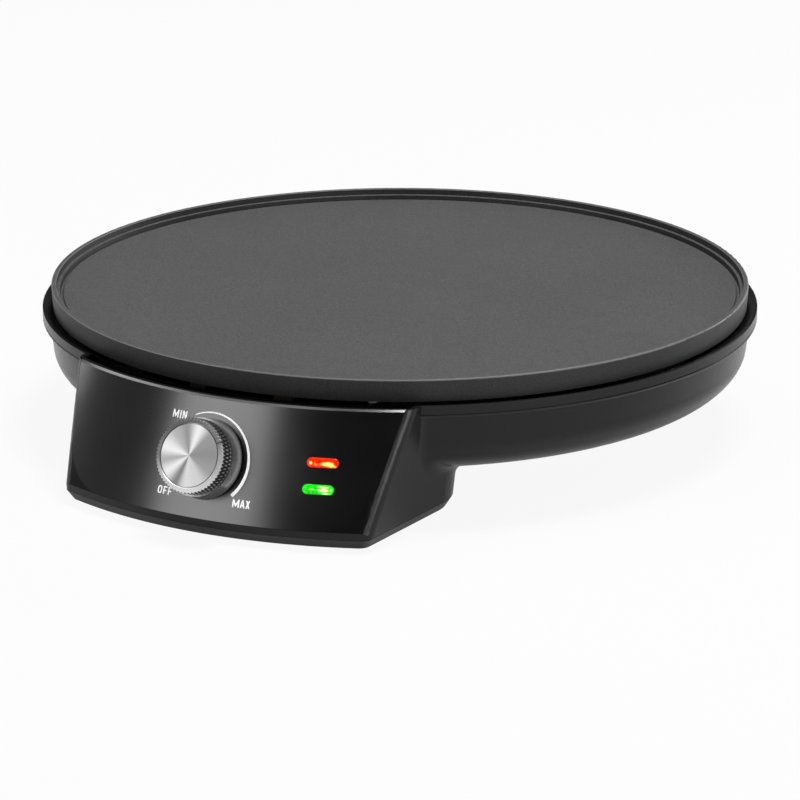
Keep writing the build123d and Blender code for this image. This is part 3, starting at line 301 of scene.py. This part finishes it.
def plate_coating():
    """Charcoal non-stick coating: pale grains on top, walls painted darker as shade, and a painted highlight along
    the rim's edge.
    """
    material, tree, shader, place = new_material("plate_coating")
    plain(shader, grey(0.07), 0.5, specular=0.4)
    normal = tree.nodes.new("ShaderNodeTexCoord").outputs["Normal"]
    upward = coordinate(tree, normal, "Z")
    grain = noise(tree, place, COATING_GRAIN_SIZE, detail=3, roughness=0.7)
    patches = noise(tree, place, COATING_PATCH_SIZE)
    top, wall = [
        ramp(tree, grain, COATING_GRAIN_SPAN, grey(ground), grey(grains))
        for ground, grains in (COATING_TOP, COATING_WALL_SHADED)
    ]
    # Painted shade: the walls take the darker greys.
    color = mixed(tree, spread(tree, upward, WALL_TO_TOP), wall, top)
    # Painted highlight: a light line along the rim's rounded edge.
    rim_highlight = together(tree, "MULTIPLY", [
        spread(tree, upward, EDGE_BEGINS),
        spread(tree, upward, EDGE_ENDS, (1, 0)),
        spread(tree, coordinate(tree, place, "Z"), (PLATE_TOP - EDGE_DROP, PLATE_TOP - EDGE_DROP / 2)),
    ])
    paint(tree, shader, mixed(tree, rim_highlight, color, grey(RIM_HIGHLIGHT_GREY)))
    tree.links.new(spread(tree, patches, FIELD, COATING_ROUGHNESS), shader.inputs["Roughness"])
    bump(tree, shader, grain, COATING_DEPTH)
    return material


# Colour, roughness, specular level, and the grain's size and depth.
MOULDED = {
    "housing_plastic": (grey(0.005), 0.26, 0.3, 0.5 * MM, 0.005 * MM),
    "cover_plastic": (grey(0.014), 0.42, 0.5, 0.5 * MM, 0.02 * MM),
    "phenolic": ((0.03, 0.025, 0.022, 1), 0.5, 0.4, 0.6 * MM, 0.01 * MM),
    "nylon_white": ((0.74, 0.74, 0.7, 1), 0.45, 0.4, 0.6 * MM, 0.01 * MM),
    "holder_plastic": ((0.72, 0.71, 0.66, 1), 0.5, 0.4, 0.6 * MM, 0.01 * MM),
}
SMUDGE_SIZE = 45 * MM
SMUDGE_SPAN = (0.35, 0.65)

# What smudges do to the colour and to the roughness: factors at their two ends.
SMUDGE_SHADES = (0.9, 1.12)
SMUDGE_GLOSS = (0.93, 1.07)


def moulded(name, color, roughness, specular, grain_size, depth):
    """Moulded plastic with a fine spark-eroded texture and broad, faint changes of shade and gloss."""
    material, tree, shader, place = new_material(name)
    plain(shader, color, roughness, specular=specular)
    grain = noise(tree, place, grain_size, roughness=0.6)
    smudge = noise(tree, place, SMUDGE_SIZE, detail=3)
    dark, light = [shaded(color, factor) for factor in SMUDGE_SHADES]
    paint(tree, shader, ramp(tree, smudge, SMUDGE_SPAN, dark, light))
    gloss = spread(tree, smudge, FIELD, [roughness * factor for factor in SMUDGE_GLOSS])
    tree.links.new(gloss, shader.inputs["Roughness"])
    bump(tree, shader, grain, depth)
    return material


def panel_lacquer():
    """Hard black lacquer: a moulded face with a stronger mirror than bare plastic."""
    material = moulded(
        "panel_gloss", grey(0.002), roughness=0.22, specular=1.0, grain_size=0.9 * MM, depth=0.0005 * MM
    )
    material.node_tree.nodes["Principled BSDF"].inputs["IOR"].default_value = 1.6
    return material


def knob_paint():
    """Dark metallic paint with fine flakes."""
    material, tree, shader, place = new_material("knob_plastic")
    plain(shader, grey(0.2), 0.28, metallic=0.85)
    flakes = noise(tree, place, 0.3 * MM, roughness=0.7)
    paint(tree, shader, ramp(tree, flakes, (0.35, 0.7), grey(0.25), grey(0.42)))
    bump(tree, shader, flakes, 0.002 * MM)
    return material


# Colour, roughness, and the stretch of the lines along each axis.
BRUSHED = {
    "steel": (grey(0.6), 0.3, (1, 0.08, 1)),
    "sheath_steel": ((0.3, 0.27, 0.25, 1), 0.5, (1, 1, 1)),
    "reflector_steel": (grey(0.62), 0.35, (0.05, 1, 1)),
    "spring_steel": ((0.42, 0.42, 0.45, 1), 0.3, (1, 1, 0.1)),
    "copper": ((0.72, 0.36, 0.22, 1), 0.35, (1, 1, 1)),
    "brass": ((0.72, 0.54, 0.26, 1), 0.3, (1, 1, 0.1)),
}
LINE_SIZE = 0.35 * MM
LINE_DEPTH = 0.01 * MM
LINE_DARK = 0.82
LINE_GLOSS = (0.8, 1.2)


def brushed(name, color, roughness, stretch):
    """Metal with fine lines along the axis whose stretch is small."""
    material, tree, shader, place = new_material(name)
    plain(shader, color, roughness, metallic=1.0)
    lines = noise(tree, place, LINE_SIZE, roughness=0.6, stretch=stretch)
    paint(tree, shader, ramp(tree, lines, FIELD, shaded(color, LINE_DARK), color))
    gloss = spread(tree, lines, FIELD, [roughness * factor for factor in LINE_GLOSS])
    tree.links.new(gloss, shader.inputs["Roughness"])
    bump(tree, shader, lines, LINE_DEPTH)
    return material


# Light and dark sectors painted on the turned metal as reflections: (degrees clockwise from the local Y axis,
# grey).
DISC_REFLECTION_FAN = [
    (-40, 0.33), (-15, 0.24), (13, 0.68), (42, 0.24), (80, 0.2), (115, 0.24),
    (150, 0.48), (178, 0.55), (199, 0.18), (228, 0.63), (254, 0.32), (280, 0.62),
]
RING_REFLECTION_FAN = [
    (-45, 0.2), (0, 0.2), (45, 0.3), (90, 0.8), (135, 0.85), (180, 0.95), (225, 0.75), (270, 0.22),
]
TURNED_DEPTH = 0.004 * MM
TURNED_DARK = 0.82

# The knurl's valleys are painted dark as shade: spans in shares of its depth, below its tips and above its upper
# end.
VALLEY_DEPTHS = (0.55, 0.15)
VALLEY_ENDS = (-0.2, 0.1)
VALLEY_SHADE_GREY = 0.05


def reflection_fan(tree, place, sectors):
    """Grey of the painted reflection sectors, changing with the angle round the local Z axis, with no step where
    the turn closes.
    """
    angle = together(tree, "ARCTAN2", [coordinate(tree, place, "X"), coordinate(tree, place, "Y")])
    turned = spread(tree, angle, (-pi, pi))
    points = sorted(((degrees + 180) / 360 % 1, value) for degrees, value in sectors)
    (first, first_value), (last, last_value) = points[0], points[-1]
    share = first / (first + 1 - last)
    seam = grey(first_value + (last_value - first_value) * share)
    stops = [(0.0, seam)] + [(position, grey(value)) for position, value in points] + [(1.0, seam)]
    return color_ramp(tree, turned, stops, "EASE")


def ridge_light(tree, place, reach):
    """1 on the knurl's ridges and on the chamfer above it, 0 in the knurl's valleys, which are painted dark as
    shade.
    """
    deep, shallow = VALLEY_DEPTHS
    start, end = VALLEY_ENDS
    ridges = spread(tree, reach, (RING_RADIUS - KNURL_DEPTH * deep, RING_RADIUS - KNURL_DEPTH * shallow))
    height = coordinate(tree, place, "Z")
    above = spread(tree, height, (KNURL_HIGH + KNURL_DEPTH * start, KNURL_HIGH + KNURL_DEPTH * end))
    return together(tree, "MAXIMUM", [ridges, above])


def turned_metal(name, roughness, metallic, anisotropy, line_pitch, sectors, shade_knurl_valleys):
    """Turned metal: fine lines run round the local Z axis, with light and dark sectors painted on as reflections.
    """
    material, tree, shader, place = new_material(name)
    plain(shader, grey(0.6), roughness, metallic=metallic)
    shader.inputs["Anisotropic"].default_value = anisotropy
    tangent = tree.nodes.new("ShaderNodeTangent")
    tangent.direction_type = "RADIAL"
    tangent.axis = "Z"
    tree.links.new(tangent.outputs["Tangent"], shader.inputs["Tangent"])
    reach = length_of(tree, mapped(tree, place, (1, 1, 0)))
    rings = tree.nodes.new("ShaderNodeTexNoise")
    rings.noise_dimensions = "1D"
    rings.inputs["Scale"].default_value = 1 / line_pitch
    rings.inputs["Detail"].default_value = 2
    tree.links.new(reach, rings.inputs["W"])
    lines = ramp(tree, rings.outputs["Fac"], FIELD, grey(TURNED_DARK), grey(1.0))
    color = mixed(tree, 1.0, reflection_fan(tree, place, sectors), lines, "MULTIPLY")
    # Painted shade: the knurl's valleys are darkened.
    if shade_knurl_valleys:
        color = mixed(tree, ridge_light(tree, place, reach), grey(VALLEY_SHADE_GREY), color)
    paint(tree, shader, color)
    bump(tree, shader, rings.outputs["Fac"], TURNED_DEPTH)
    return material


# Ovals of light in the lenses: across and up from the middle, half length and half height in millimetres,
# and strength.
RED_SPOTS = [
    (2.0, -0.5, 3.8, 1.1, 0.75), (4.2, -1.3, 2.4, 0.7, 0.6), (-4.9, -0.3, 0.9, 0.9, 0.7),
    (-2.5, -0.9, 2.4, 0.9, 0.25),
]
GREEN_SPOTS = [
    (2.4, 0.9, 3.0, 0.7, 0.6), (2.2, -0.3, 3.2, 0.8, 0.75), (-2.0, -0.1, 2.2, 0.5, 0.4),
    (3.6, -1.5, 2.4, 0.5, 0.6), (5.6, 0.0, 0.9, 1.4, 0.4),
]
SPOT_FADE = (0.35, 1.0)

# Colours of a lens where its light is weak, middling and strong, and the light where each is reached.
RED = ((0.55, 0.0, 0.0, 1), (1.0, 0.035, 0.0, 1), (1.0, 0.85, 0.16, 1))
GREEN = ((0.0, 0.35, 0.0, 1), (0.01, 0.85, 0.01, 1), (0.8, 1.0, 0.4, 1))
LENS_STOPS = (0.1, 0.4, 0.95)
LENS_CELLS = (0.05, 0.4)
LENS_CELL_SIZE = 1.3 * MM
LENS_CELL_DEPTH = 0.05 * MM
LENS_GLOW = 0.7


def glow_spot(tree, place, across, up, half_length, half_height, strength):
    """Oval of light in a lens, strongest in its middle."""
    scale = (1 / (half_length * MM), 1 / (half_height * MM), 0)
    oval = mapped(tree, place, scale, (-across / half_length, -up / half_height, 0))
    return spread(tree, length_of(tree, oval), SPOT_FADE, (strength, 0))


def lit_lens(name, colors, spots):
    """Clear lens with a lamp behind it, which glows in a few soft ovals."""
    material, tree, shader, place = new_material(name)
    plain(shader, colors[0], 0.15, specular=0.3)
    cells = noise(tree, place, LENS_CELL_SIZE)
    glow = [spread(tree, cells, FIELD, LENS_CELLS)]
    glow += [glow_spot(tree, place, *spot) for spot in spots]
    color = color_ramp(tree, together(tree, "ADD", glow), list(zip(LENS_STOPS, colors)))
    paint(tree, shader, color)
    tree.links.new(color, shader.inputs["Emission Color"])
    shader.inputs["Emission Strength"].default_value = LENS_GLOW
    bump(tree, shader, cells, LENS_CELL_DEPTH)
    return material


INK_PAINTED_GLOW = 0.35


def print_ink():
    """White screen ink with a painted glow, which keeps it white where the black face round it is in shade."""
    material, tree, shader, place = new_material("print_ink")
    plain(shader, grey(0.9), 0.45)
    grain = noise(tree, place, 0.5 * MM)
    paint(tree, shader, ramp(tree, grain, FIELD, grey(0.84), grey(0.94)))
    # Painted light: the ink glows a little though it is no lamp.
    shader.inputs["Emission Color"].default_value = grey(1.0)
    shader.inputs["Emission Strength"].default_value = INK_PAINTED_GLOW
    return material


def rubber():
    """Black rubber with a little dust."""
    material, tree, shader, place = new_material("foot_rubber")
    plain(shader, grey(0.028), 0.8, specular=0.3)
    dust = noise(tree, place, 3 * MM, detail=4, roughness=0.6)
    paint(tree, shader, ramp(tree, dust, (0.4, 0.8), grey(0.022), grey(0.05)))
    bump(tree, shader, noise(tree, place, 0.4 * MM), 0.03 * MM)
    return material


def ceramic():
    """Unglazed white ceramic with fine dark specks."""
    material, tree, shader, place = new_material("ceramic_white")
    color = (0.78, 0.76, 0.7, 1)
    plain(shader, color, 0.6)
    specks = noise(tree, place, 0.6 * MM, detail=3, roughness=0.6)
    paint(tree, shader, ramp(tree, specks, (0.35, 0.6), shaded(color, 0.85), color))
    bump(tree, shader, specks, 0.02 * MM)
    return material


def glass():
    """Clear glass, slightly wavy."""
    material, tree, shader, place = new_material("lamp_glass")
    plain(shader, (0.95, 0.85, 0.75, 1), 0.08)
    shader.inputs["Transmission Weight"].default_value = 1.0
    bump(tree, shader, noise(tree, place, 4 * MM, detail=1), 0.05 * MM)
    return material


# Colour of the covering, and its second colour if it has one.
WIRES = {
    "wire_white": ((0.75, 0.75, 0.72, 1), None),
    "wire_brown": ((0.16, 0.07, 0.03, 1), None),
    "wire_blue": ((0.02, 0.09, 0.35, 1), None),
    "wire_green": ((0.1, 0.4, 0.04, 1), (0.75, 0.65, 0.03, 1)),
}
PATCH_SIZE = 2.5 * MM

# Spans of the noise over which a patch's colour changes, for a second colour and for a mere shade.
SHARP_PATCH = (0.48, 0.52)
SOFT_PATCH = (0.3, 0.7)


def insulation(name, color, second):
    """Silicone wire covering, with a second colour in sharp patches if it has one."""
    material, tree, shader, place = new_material(name)
    plain(shader, color, 0.5)
    field = noise(tree, place, PATCH_SIZE, detail=1, roughness=0.4)
    span = SHARP_PATCH if second else SOFT_PATCH
    paint(tree, shader, ramp(tree, field, span, color, second or shaded(color, 0.85)))
    return material


materials = {
    "plate_coating": plate_coating(),
    "panel_gloss": panel_lacquer(),
    "foot_rubber": rubber(),
    "knob_plastic": knob_paint(),
    "knob_silver": turned_metal(
        "knob_silver", roughness=0.34, metallic=0.6, anisotropy=0.0, line_pitch=0.4 * MM,
        sectors=RING_REFLECTION_FAN, shade_knurl_valleys=True,
    ),
    "knob_disc": turned_metal(
        "knob_disc", roughness=0.36, metallic=0.9, anisotropy=0.5, line_pitch=0.18 * MM,
        sectors=DISC_REFLECTION_FAN, shade_knurl_valleys=False,
    ),
    "ceramic_white": ceramic(),
    "lens_red": lit_lens("lens_red", RED, RED_SPOTS),
    "lens_green": lit_lens("lens_green", GREEN, GREEN_SPOTS),
    "lamp_glass": glass(),
    "print_ink": print_ink(),
}
for make, looks in ((moulded, MOULDED), (brushed, BRUSHED), (insulation, WIRES)):
    for name, look in looks.items():
        materials[name] = make(name, *look)


def dress_nodes():
    """Gives every CAD node the material of its slot in the record."""
    for row in frame["record"]["subparts"]:
        mesh = frame["nodes"][row["node"]].data
        mesh.materials.clear()
        mesh.materials.append(materials[row["material_slot"]])


# ---------------------------------------------------------------- meshes
CREASE = radians(32)


def mesh_object(name, vertices, faces, material, body, replaced=(), matrix=None, smooth=True):
    """Makes a piece of a body from vertices and faces, in its own frame if a matrix is given."""
    mesh = bpy.data.meshes.new(name)
    mesh.from_pydata([tuple(vertex) for vertex in vertices], [], faces)
    mesh.materials.append(materials[material])
    mesh.validate()
    if smooth:
        mesh.shade_smooth()
        mesh.set_sharp_from_angle(angle=CREASE)
    piece = bpy.data.objects.new(name, mesh)
    scene.collection.objects.link(piece)
    if matrix:
        piece.matrix_world = matrix
    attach(piece, body)
    if replaced:
        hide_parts(*replaced)


def lathe(profile, steps, shape=None):
    """Closed ring from a profile of (radius, height) points; shape may move each point."""
    vertices, faces = [], []
    count = len(profile)
    for step in range(steps):
        angle = 2 * pi * step / steps
        for radius, height in profile:
            if shape:
                radius, height = shape(radius, height, angle)
            vertices.append((radius * cos(angle), radius * sin(angle), height))
    for step in range(steps):
        here, there = step * count, (step + 1) % steps * count
        for index in range(count):
            after = (index + 1) % count
            faces.append((here + index, there + index, there + after, here + after))
    return vertices, faces


# ---------------------------------------------------------------- print on the panel, millimetres
CAP_HEIGHT = 3.3
STROKE = 0.56
INK_THICKNESS = 0.03 * MM
ROUND_STEPS = 28
ROUND_POWER = 0.62

DIAL_RADIUS = 19.5
DIAL_START = radians(-27)
DIAL_END = radians(134)
DIAL_THIN = 0.4
DIAL_THICK = 1.4
DIAL_STEPS = 48

# Each word's middle, across and up from the knob's centre, and the gap between its letters.
WORDS = {"OFF": (-16.6, -15.9, 0.66), "MIN": (-16.8, 16.4, 0.75), "MAX": (18.7, -16.4, 0.35)}


# Outlines of the capitals from their lower left corner. Joints and tips are shares of the height or stroke.
def letter_a(width, height, stroke):
    bar = height * 0.22
    foot, lean = stroke * 1.08, 0.14
    half_tip = stroke * 0.56
    hole_side, hole_low, hole_high = foot + 0.26, bar + stroke * 0.85, height * 0.8
    outer = [
        (0, 0), (foot, 0), (foot + lean, bar), (width - foot - lean, bar), (width - foot, 0), (width, 0),
        (width / 2 + half_tip, height), (width / 2 - half_tip, height),
    ]
    return [outer, [(hole_side, hole_low), (width - hole_side, hole_low), (width / 2, hole_high)]]


def letter_f(width, height, stroke):
    arm_high, arm_end = height * 0.55, width - 0.15
    arm_low = arm_high - stroke
    return [[
        (0, 0), (stroke, 0), (stroke, arm_low), (arm_end, arm_low), (arm_end, arm_high), (stroke, arm_high),
        (stroke, height - stroke), (width, height - stroke), (width, height), (0, height),
    ]]


def letter_i(_, height, stroke):
    return [[(0, 0), (stroke, 0), (stroke, height), (0, height)]]


def letter_m(width, height, stroke):
    right = width - stroke
    joint, valley, dip = height * 0.6, height * 0.1, height * 0.42
    half_tip = 0.16
    return [[
        (0, 0), (stroke, 0), (stroke, joint), (width / 2 - half_tip, valley), (width / 2 + half_tip, valley),
        (right, joint), (right, 0), (width, 0), (width, height), (right, height), (width / 2, dip),
        (stroke, height), (0, height),
    ]]


def letter_n(width, height, stroke):
    right = width - stroke
    return [[
        (0, 0), (stroke, 0), (stroke, height * 0.62), (right, 0), (width, 0), (width, height),
        (right, height), (right, height * 0.38), (stroke, height), (0, height),
    ]]


def letter_o(width, height, stroke):
    loops = []
    for inset in (0, stroke):
        loop = []
        for step in range(ROUND_STEPS):
            angle = 2 * pi * step / ROUND_STEPS
            across, up = [copysign(abs(value) ** ROUND_POWER, value) for value in (cos(angle), sin(angle))]
            loop.append((width / 2 + (width / 2 - inset) * across, height / 2 + (height / 2 - inset) * up))
        loops.append(loop)
    return loops


def letter_x(width, height, stroke):
    foot, half_waist = stroke * 1.1, stroke * 0.58
    middle = width / 2
    low, high = height * 0.36, height * 0.64
    return [[
        (0, 0), (foot, 0), (middle, low), (width - foot, 0), (width, 0), (middle + half_waist, height / 2),
        (width, height), (width - foot, height), (middle, high), (foot, height), (0, height),
        (middle - half_waist, height / 2),
    ]]


# Each capital's outlines and its width.
LETTERS = {
    "A": (letter_a, 2.1), "F": (letter_f, 1.65), "I": (letter_i, STROKE), "M": (letter_m, 2.95),
    "N": (letter_n, 2.15), "O": (letter_o, 2.05), "X": (letter_x, 1.75),
}


def word(text, centre_x, centre_y, gap):
    """Outlines of a word centred on a place, with a gap between its letters."""
    x = centre_x - (sum(LETTERS[character][1] for character in text) + gap * (len(text) - 1)) / 2
    y = centre_y - CAP_HEIGHT / 2
    loops = []
    for character in text:
        outlines, width = LETTERS[character]
        for outline in outlines(width, CAP_HEIGHT, STROKE):
            loops.append([(x + across, y + up) for across, up in outline])
        x += width + gap
    return loops


def dial_arc():
    """Outline of the heat scale: an arc that thickens clockwise, angles measured from the top."""
    outer, inner = [], []
    for step in range(DIAL_STEPS + 1):
        share = step / DIAL_STEPS
        angle = DIAL_START + (DIAL_END - DIAL_START) * share
        half = (DIAL_THIN + (DIAL_THICK - DIAL_THIN) * share) / 2
        outer.append(((DIAL_RADIUS + half) * sin(angle), (DIAL_RADIUS + half) * cos(angle)))
        inner.append(((DIAL_RADIUS - half) * sin(angle), (DIAL_RADIUS - half) * cos(angle)))
    return [outer + inner[::-1]]


def on_panel(across, up, height):
    """Point on the panel's cone: across and up from the knob's centre, height above the face, in metres."""
    slant = KNOB_SLANT - up
    arc = across * panel_radius(slant) / panel_radius(KNOB_SLANT)
    return panel_matrix(arc, slant) @ Vector((0, 0, height))


def printed(name, loops):
    """Thin layer of ink over outlines in millimetres from the knob's centre, bent onto the panel.

    The flat layer reaches from -1 to 1, which becomes half the ink's thickness below the face to three
    halves of it above.
    """
    curve = bpy.data.curves.new(name, "CURVE")
    curve.dimensions = "2D"
    curve.fill_mode = "BOTH"
    curve.extrude = 1.0
    for loop in loops:
        spline = curve.splines.new("POLY")
        spline.points.add(len(loop) - 1)
        for point, (x, y) in zip(spline.points, loop):
            point.co = (x, y, 0, 1)
        spline.use_cyclic_u = True
    flat = bpy.data.objects.new(name + "_flat", curve)
    scene.collection.objects.link(flat)
    mesh = bpy.data.meshes.new_from_object(flat.evaluated_get(bpy.context.evaluated_depsgraph_get()))
    bpy.data.objects.remove(flat)
    places = [vertex.co for vertex in mesh.vertices]
    vertices = [on_panel(p.x * MM, p.y * MM, p.z * INK_THICKNESS + INK_THICKNESS / 2) for p in places]
    faces = [tuple(polygon.vertices) for polygon in mesh.polygons]
    mesh_object(name, vertices, faces, "print_ink", "root", smooth=False)


def make_print():
    """Heat scale round the knob and the three words."""
    printed("dial_scale", dial_arc())
    for text, place in WORDS.items():
        printed("mark_" + text.lower(), word(text, *place))


# ---------------------------------------------------------------- knob
POINTER_ANGLE = radians(90 - 61)
POINTER_WIDTH = 0.6 * MM
POINTER_DEPTH = 0.5 * MM
STEPS_PER_TOOTH = 8
SIDE_STEPS = 16
KNOB_BEVEL = 0.15 * MM

DISC_LOW = RING_HIGH - 0.9 * MM
DISC_HIGH = RING_HIGH - 0.25 * MM
DISC_DISH = 0.12 * MM
DISC_CENTRE = 0.02 * MM
DISC_RINGS = 12
DISC_STEPS = 192


def triangle(value):
    """Runs from 0 up to 1 and back once for each whole number."""
    return 1 - abs(2 * (value % 1) - 1)


def knurl(radius, height, angle):
    """Cuts a diamond knurl into the ring's side, edge to edge, and a pointer notch into its chamfer."""
    turn = KNURL_COUNT * angle / (2 * pi)
    rise = KNURL_ROWS * min(max(height - RING_LOW, 0) / (KNURL_HIGH - RING_LOW), 1)
    peak = min(triangle(turn + rise / 2), triangle(turn - rise / 2))
    radius = min(radius, RING_RADIUS - KNURL_DEPTH * (1 - peak))
    away = abs((angle - POINTER_ANGLE + pi) % (2 * pi) - pi) * radius
    if height > KNURL_HIGH and away < POINTER_WIDTH / 2:
        height -= POINTER_DEPTH
    return radius, height


def make_grip():
    """Knurled ring with a softened chamfer and the pointer's notch."""
    inner = DISC_RADIUS + DISC_GAP
    low = RING_LOW + KNOB_BEVEL
    slope = CHAMFER_HEIGHT / CHAMFER_WIDTH
    profile = [(inner, RING_LOW), (RING_RADIUS - KNOB_BEVEL, RING_LOW)]
    profile += [(RING_RADIUS, low + (KNURL_HIGH - low) * step / SIDE_STEPS) for step in range(SIDE_STEPS + 1)]
    profile += [
        (RING_RADIUS - KNOB_BEVEL, KNURL_HIGH + KNOB_BEVEL * slope + KNOB_BEVEL / 2),
        (RING_RADIUS - CHAMFER_WIDTH / 2, KNURL_HIGH + CHAMFER_HEIGHT / 2 + KNOB_BEVEL / 4),
        (inner + KNOB_BEVEL, RING_HIGH),
        (inner, RING_HIGH - KNOB_BEVEL),
    ]
    vertices, faces = lathe(profile, KNURL_COUNT * STEPS_PER_TOOTH, knurl)
    slot = "knob_silver"
    mesh_object("knob_grip", vertices, faces, slot, "knob", ["knob_ring"], KNOB_MATRIX)


def make_disc():
    """Turned disc, dished towards its middle."""
    profile = [
        (DISC_CENTRE, DISC_LOW),
        (DISC_RADIUS, DISC_LOW),
        (DISC_RADIUS, DISC_HIGH - KNOB_BEVEL),
        (DISC_RADIUS - KNOB_BEVEL, DISC_HIGH),
    ]
    for ring in range(1, DISC_RINGS):
        share = ring / DISC_RINGS
        profile.append((DISC_RADIUS * (1 - share), DISC_HIGH - DISC_DISH * share ** 2))
    profile.append((DISC_CENTRE, DISC_HIGH - DISC_DISH))
    vertices, faces = lathe(profile, DISC_STEPS)
    slot = "knob_disc"
    mesh_object("knob_disc", vertices, faces, slot, "knob", ["knob_face"], KNOB_MATRIX)


# ---------------------------------------------------------------- lenses
LENS_ARC = 51.0 * MM
LENS_SLANTS = {"red": 22.5 * MM, "green": 33.6 * MM}
LENS_LENGTH = 13.3 * MM
LENS_HEIGHT = 4.0 * MM
LENS_DOME = 0.7 * MM
LENS_LIP = 1.0 * MM
LENS_DEPTH = 2.8 * MM
LENS_END_STEPS = 12
DOME_STEPS = 7


def stadium(inset, height):
    """Points of a slot's outline, drawn in from the lens's edge by an inset."""
    radius = LENS_HEIGHT / 2 - inset
    points = []
    for side in (1, -1):
        for step in range(LENS_END_STEPS + 1):
            angle = pi * step / LENS_END_STEPS - pi / 2
            x = side * ((LENS_LENGTH - LENS_HEIGHT) / 2 + radius * cos(angle))
            points.append((x, side * radius * sin(angle), height))
    return points


def make_lens(color):
    """Domed slot-shaped lens with its retaining lip behind the panel."""
    rings = [(-LENS_LIP, -LENS_DEPTH - LENS_LIP), (-LENS_LIP, -LENS_DEPTH), (0, -LENS_DEPTH)]
    for step in range(DOME_STEPS):
        angle = pi / 2 * step / DOME_STEPS
        rings.append((LENS_HEIGHT / 2 * (1 - cos(angle)), LENS_DOME * sin(angle)))
    loops = [stadium(inset, height) for inset, height in rings]
    count = len(loops[0])
    vertices = [point for loop in loops for point in loop]
    faces = [tuple(reversed(range(count))), tuple(range(len(vertices) - count, len(vertices)))]
    for ring in range(len(loops) - 1):
        low, high = ring * count, (ring + 1) * count
        for index in range(count):
            after = (index + 1) % count
            faces.append((low + index, low + after, high + after, high + index))
    slot = "lens_" + color
    matrix = panel_matrix(LENS_ARC, LENS_SLANTS[color])
    mesh_object(color + "_lamp_lens", vertices, faces, slot, "root", [color + "_lens"], matrix)


# ---------------------------------------------------------------- stage and light
FLOOR_REACH = 12.0
FLOOR_GREY = 0.6
FLOOR_ROUGHNESS = 0.9
FLOOR_SPECULAR = 0.1

# Share of plain white in the floor, by the kind of ray that sees it.
FLOOR_GLOW = {"Is Camera Ray": 0.92, "Is Glossy Ray": 0.4, "Is Transmission Ray": 0.8}

# The studio's walls go dark between two rises, each the upward share of a direction.
WALL_FADE = (0.05, 0.38)
WALL_LEVEL = 0.24
CEILING_LEVEL = 0.015

# Azimuth and elevation in degrees, distance, width and height in metres, power in watts.
SOFTBOXES = {
    "key": (-25, 22, 1.6, 0.8, 0.9, 5.4),
    "top": (110, 78, 2.0, 0.7, 0.7, 43),
    "right_rim": (150, 12, 1.8, 0.5, 0.8, 12),
    "right_card": (72, 4, 0.9, 0.35, 0.16, 1.2),
    "front_card": (48, 6, 1.2, 0.25, 0.14, 0.7),
    "left_rim": (-80, 10, 1.8, 0.16, 1.0, 1.6),
    "left_high": (-102, 58, 1.8, 0.5, 1.4, 6.5),
}


def make_floor():
    """Pale floor that is nearly white to the camera and keeps the part's shadow."""
    reach = FLOOR_REACH
    corners = [(-reach, -reach, 0), (reach, -reach, 0), (reach, reach, 0), (-reach, reach, 0)]
    mesh = bpy.data.meshes.new("floor")
    mesh.from_pydata(corners, [], [(0, 1, 2, 3)])
    floor = bpy.data.objects.new("floor", mesh)
    scene.collection.objects.link(floor)
    material, tree, shader, _ = new_material("floor")
    plain(shader, grey(FLOOR_GREY), FLOOR_ROUGHNESS, specular=FLOOR_SPECULAR)
    white = tree.nodes.new("ShaderNodeEmission")
    white.inputs["Color"].default_value = grey(1.0)
    path = tree.nodes.new("ShaderNodeLightPath")
    shares = [together(tree, "MULTIPLY", [path.outputs[ray], share]) for ray, share in FLOOR_GLOW.items()]
    share = together(tree, "ADD", shares)
    surface(tree, share, shader.outputs["BSDF"], white.outputs["Emission"], "Material Output")
    mesh.materials.append(material)


def make_world():
    """White to the camera; for light and gloss pale near the horizon and dark overhead, as in a studio."""
    world = bpy.data.worlds.new("studio")
    scene.world = world
    world.use_nodes = True
    tree = world.node_tree
    studio = tree.nodes["Background"]
    rise = coordinate(tree, tree.nodes.new("ShaderNodeTexCoord").outputs["Generated"], "Z")
    color = ramp(tree, rise, WALL_FADE, grey(WALL_LEVEL), grey(CEILING_LEVEL))
    tree.links.new(color, studio.inputs["Color"])
    backdrop = tree.nodes.new("ShaderNodeBackground")
    backdrop.inputs["Color"].default_value = grey(1.0)
    path = tree.nodes.new("ShaderNodeLightPath")
    seen = together(tree, "ADD", [path.outputs["Is Camera Ray"], path.outputs["Is Transmission Ray"]])
    surface(tree, seen, studio.outputs["Background"], backdrop.outputs["Background"], "World Output")


def make_softbox(name, azimuth, elevation, distance, width, height, power):
    """Rectangular lamp round the part that faces it and isn't seen by the camera."""
    data = bpy.data.lights.new(name, "AREA")
    data.shape = "RECTANGLE"
    data.size = width
    data.size_y = height
    data.energy = power
    lamp = bpy.data.objects.new(name, data)
    scene.collection.objects.link(lamp)
    lamp.location = TARGET + direction(radians(azimuth), radians(elevation)) * distance
    lamp.rotation_euler = facing(lamp.location, TARGET)
    lamp.visible_camera = False


scene.view_settings.view_transform = "Standard"
make_camera()
dress_nodes()
make_print()
make_grip()
make_disc()
for lens_color in LENS_SLANTS:
    make_lens(lens_color)
make_floor()
make_world()
for lamp_name, measures in SOFTBOXES.items():
    make_softbox(lamp_name, *measures)
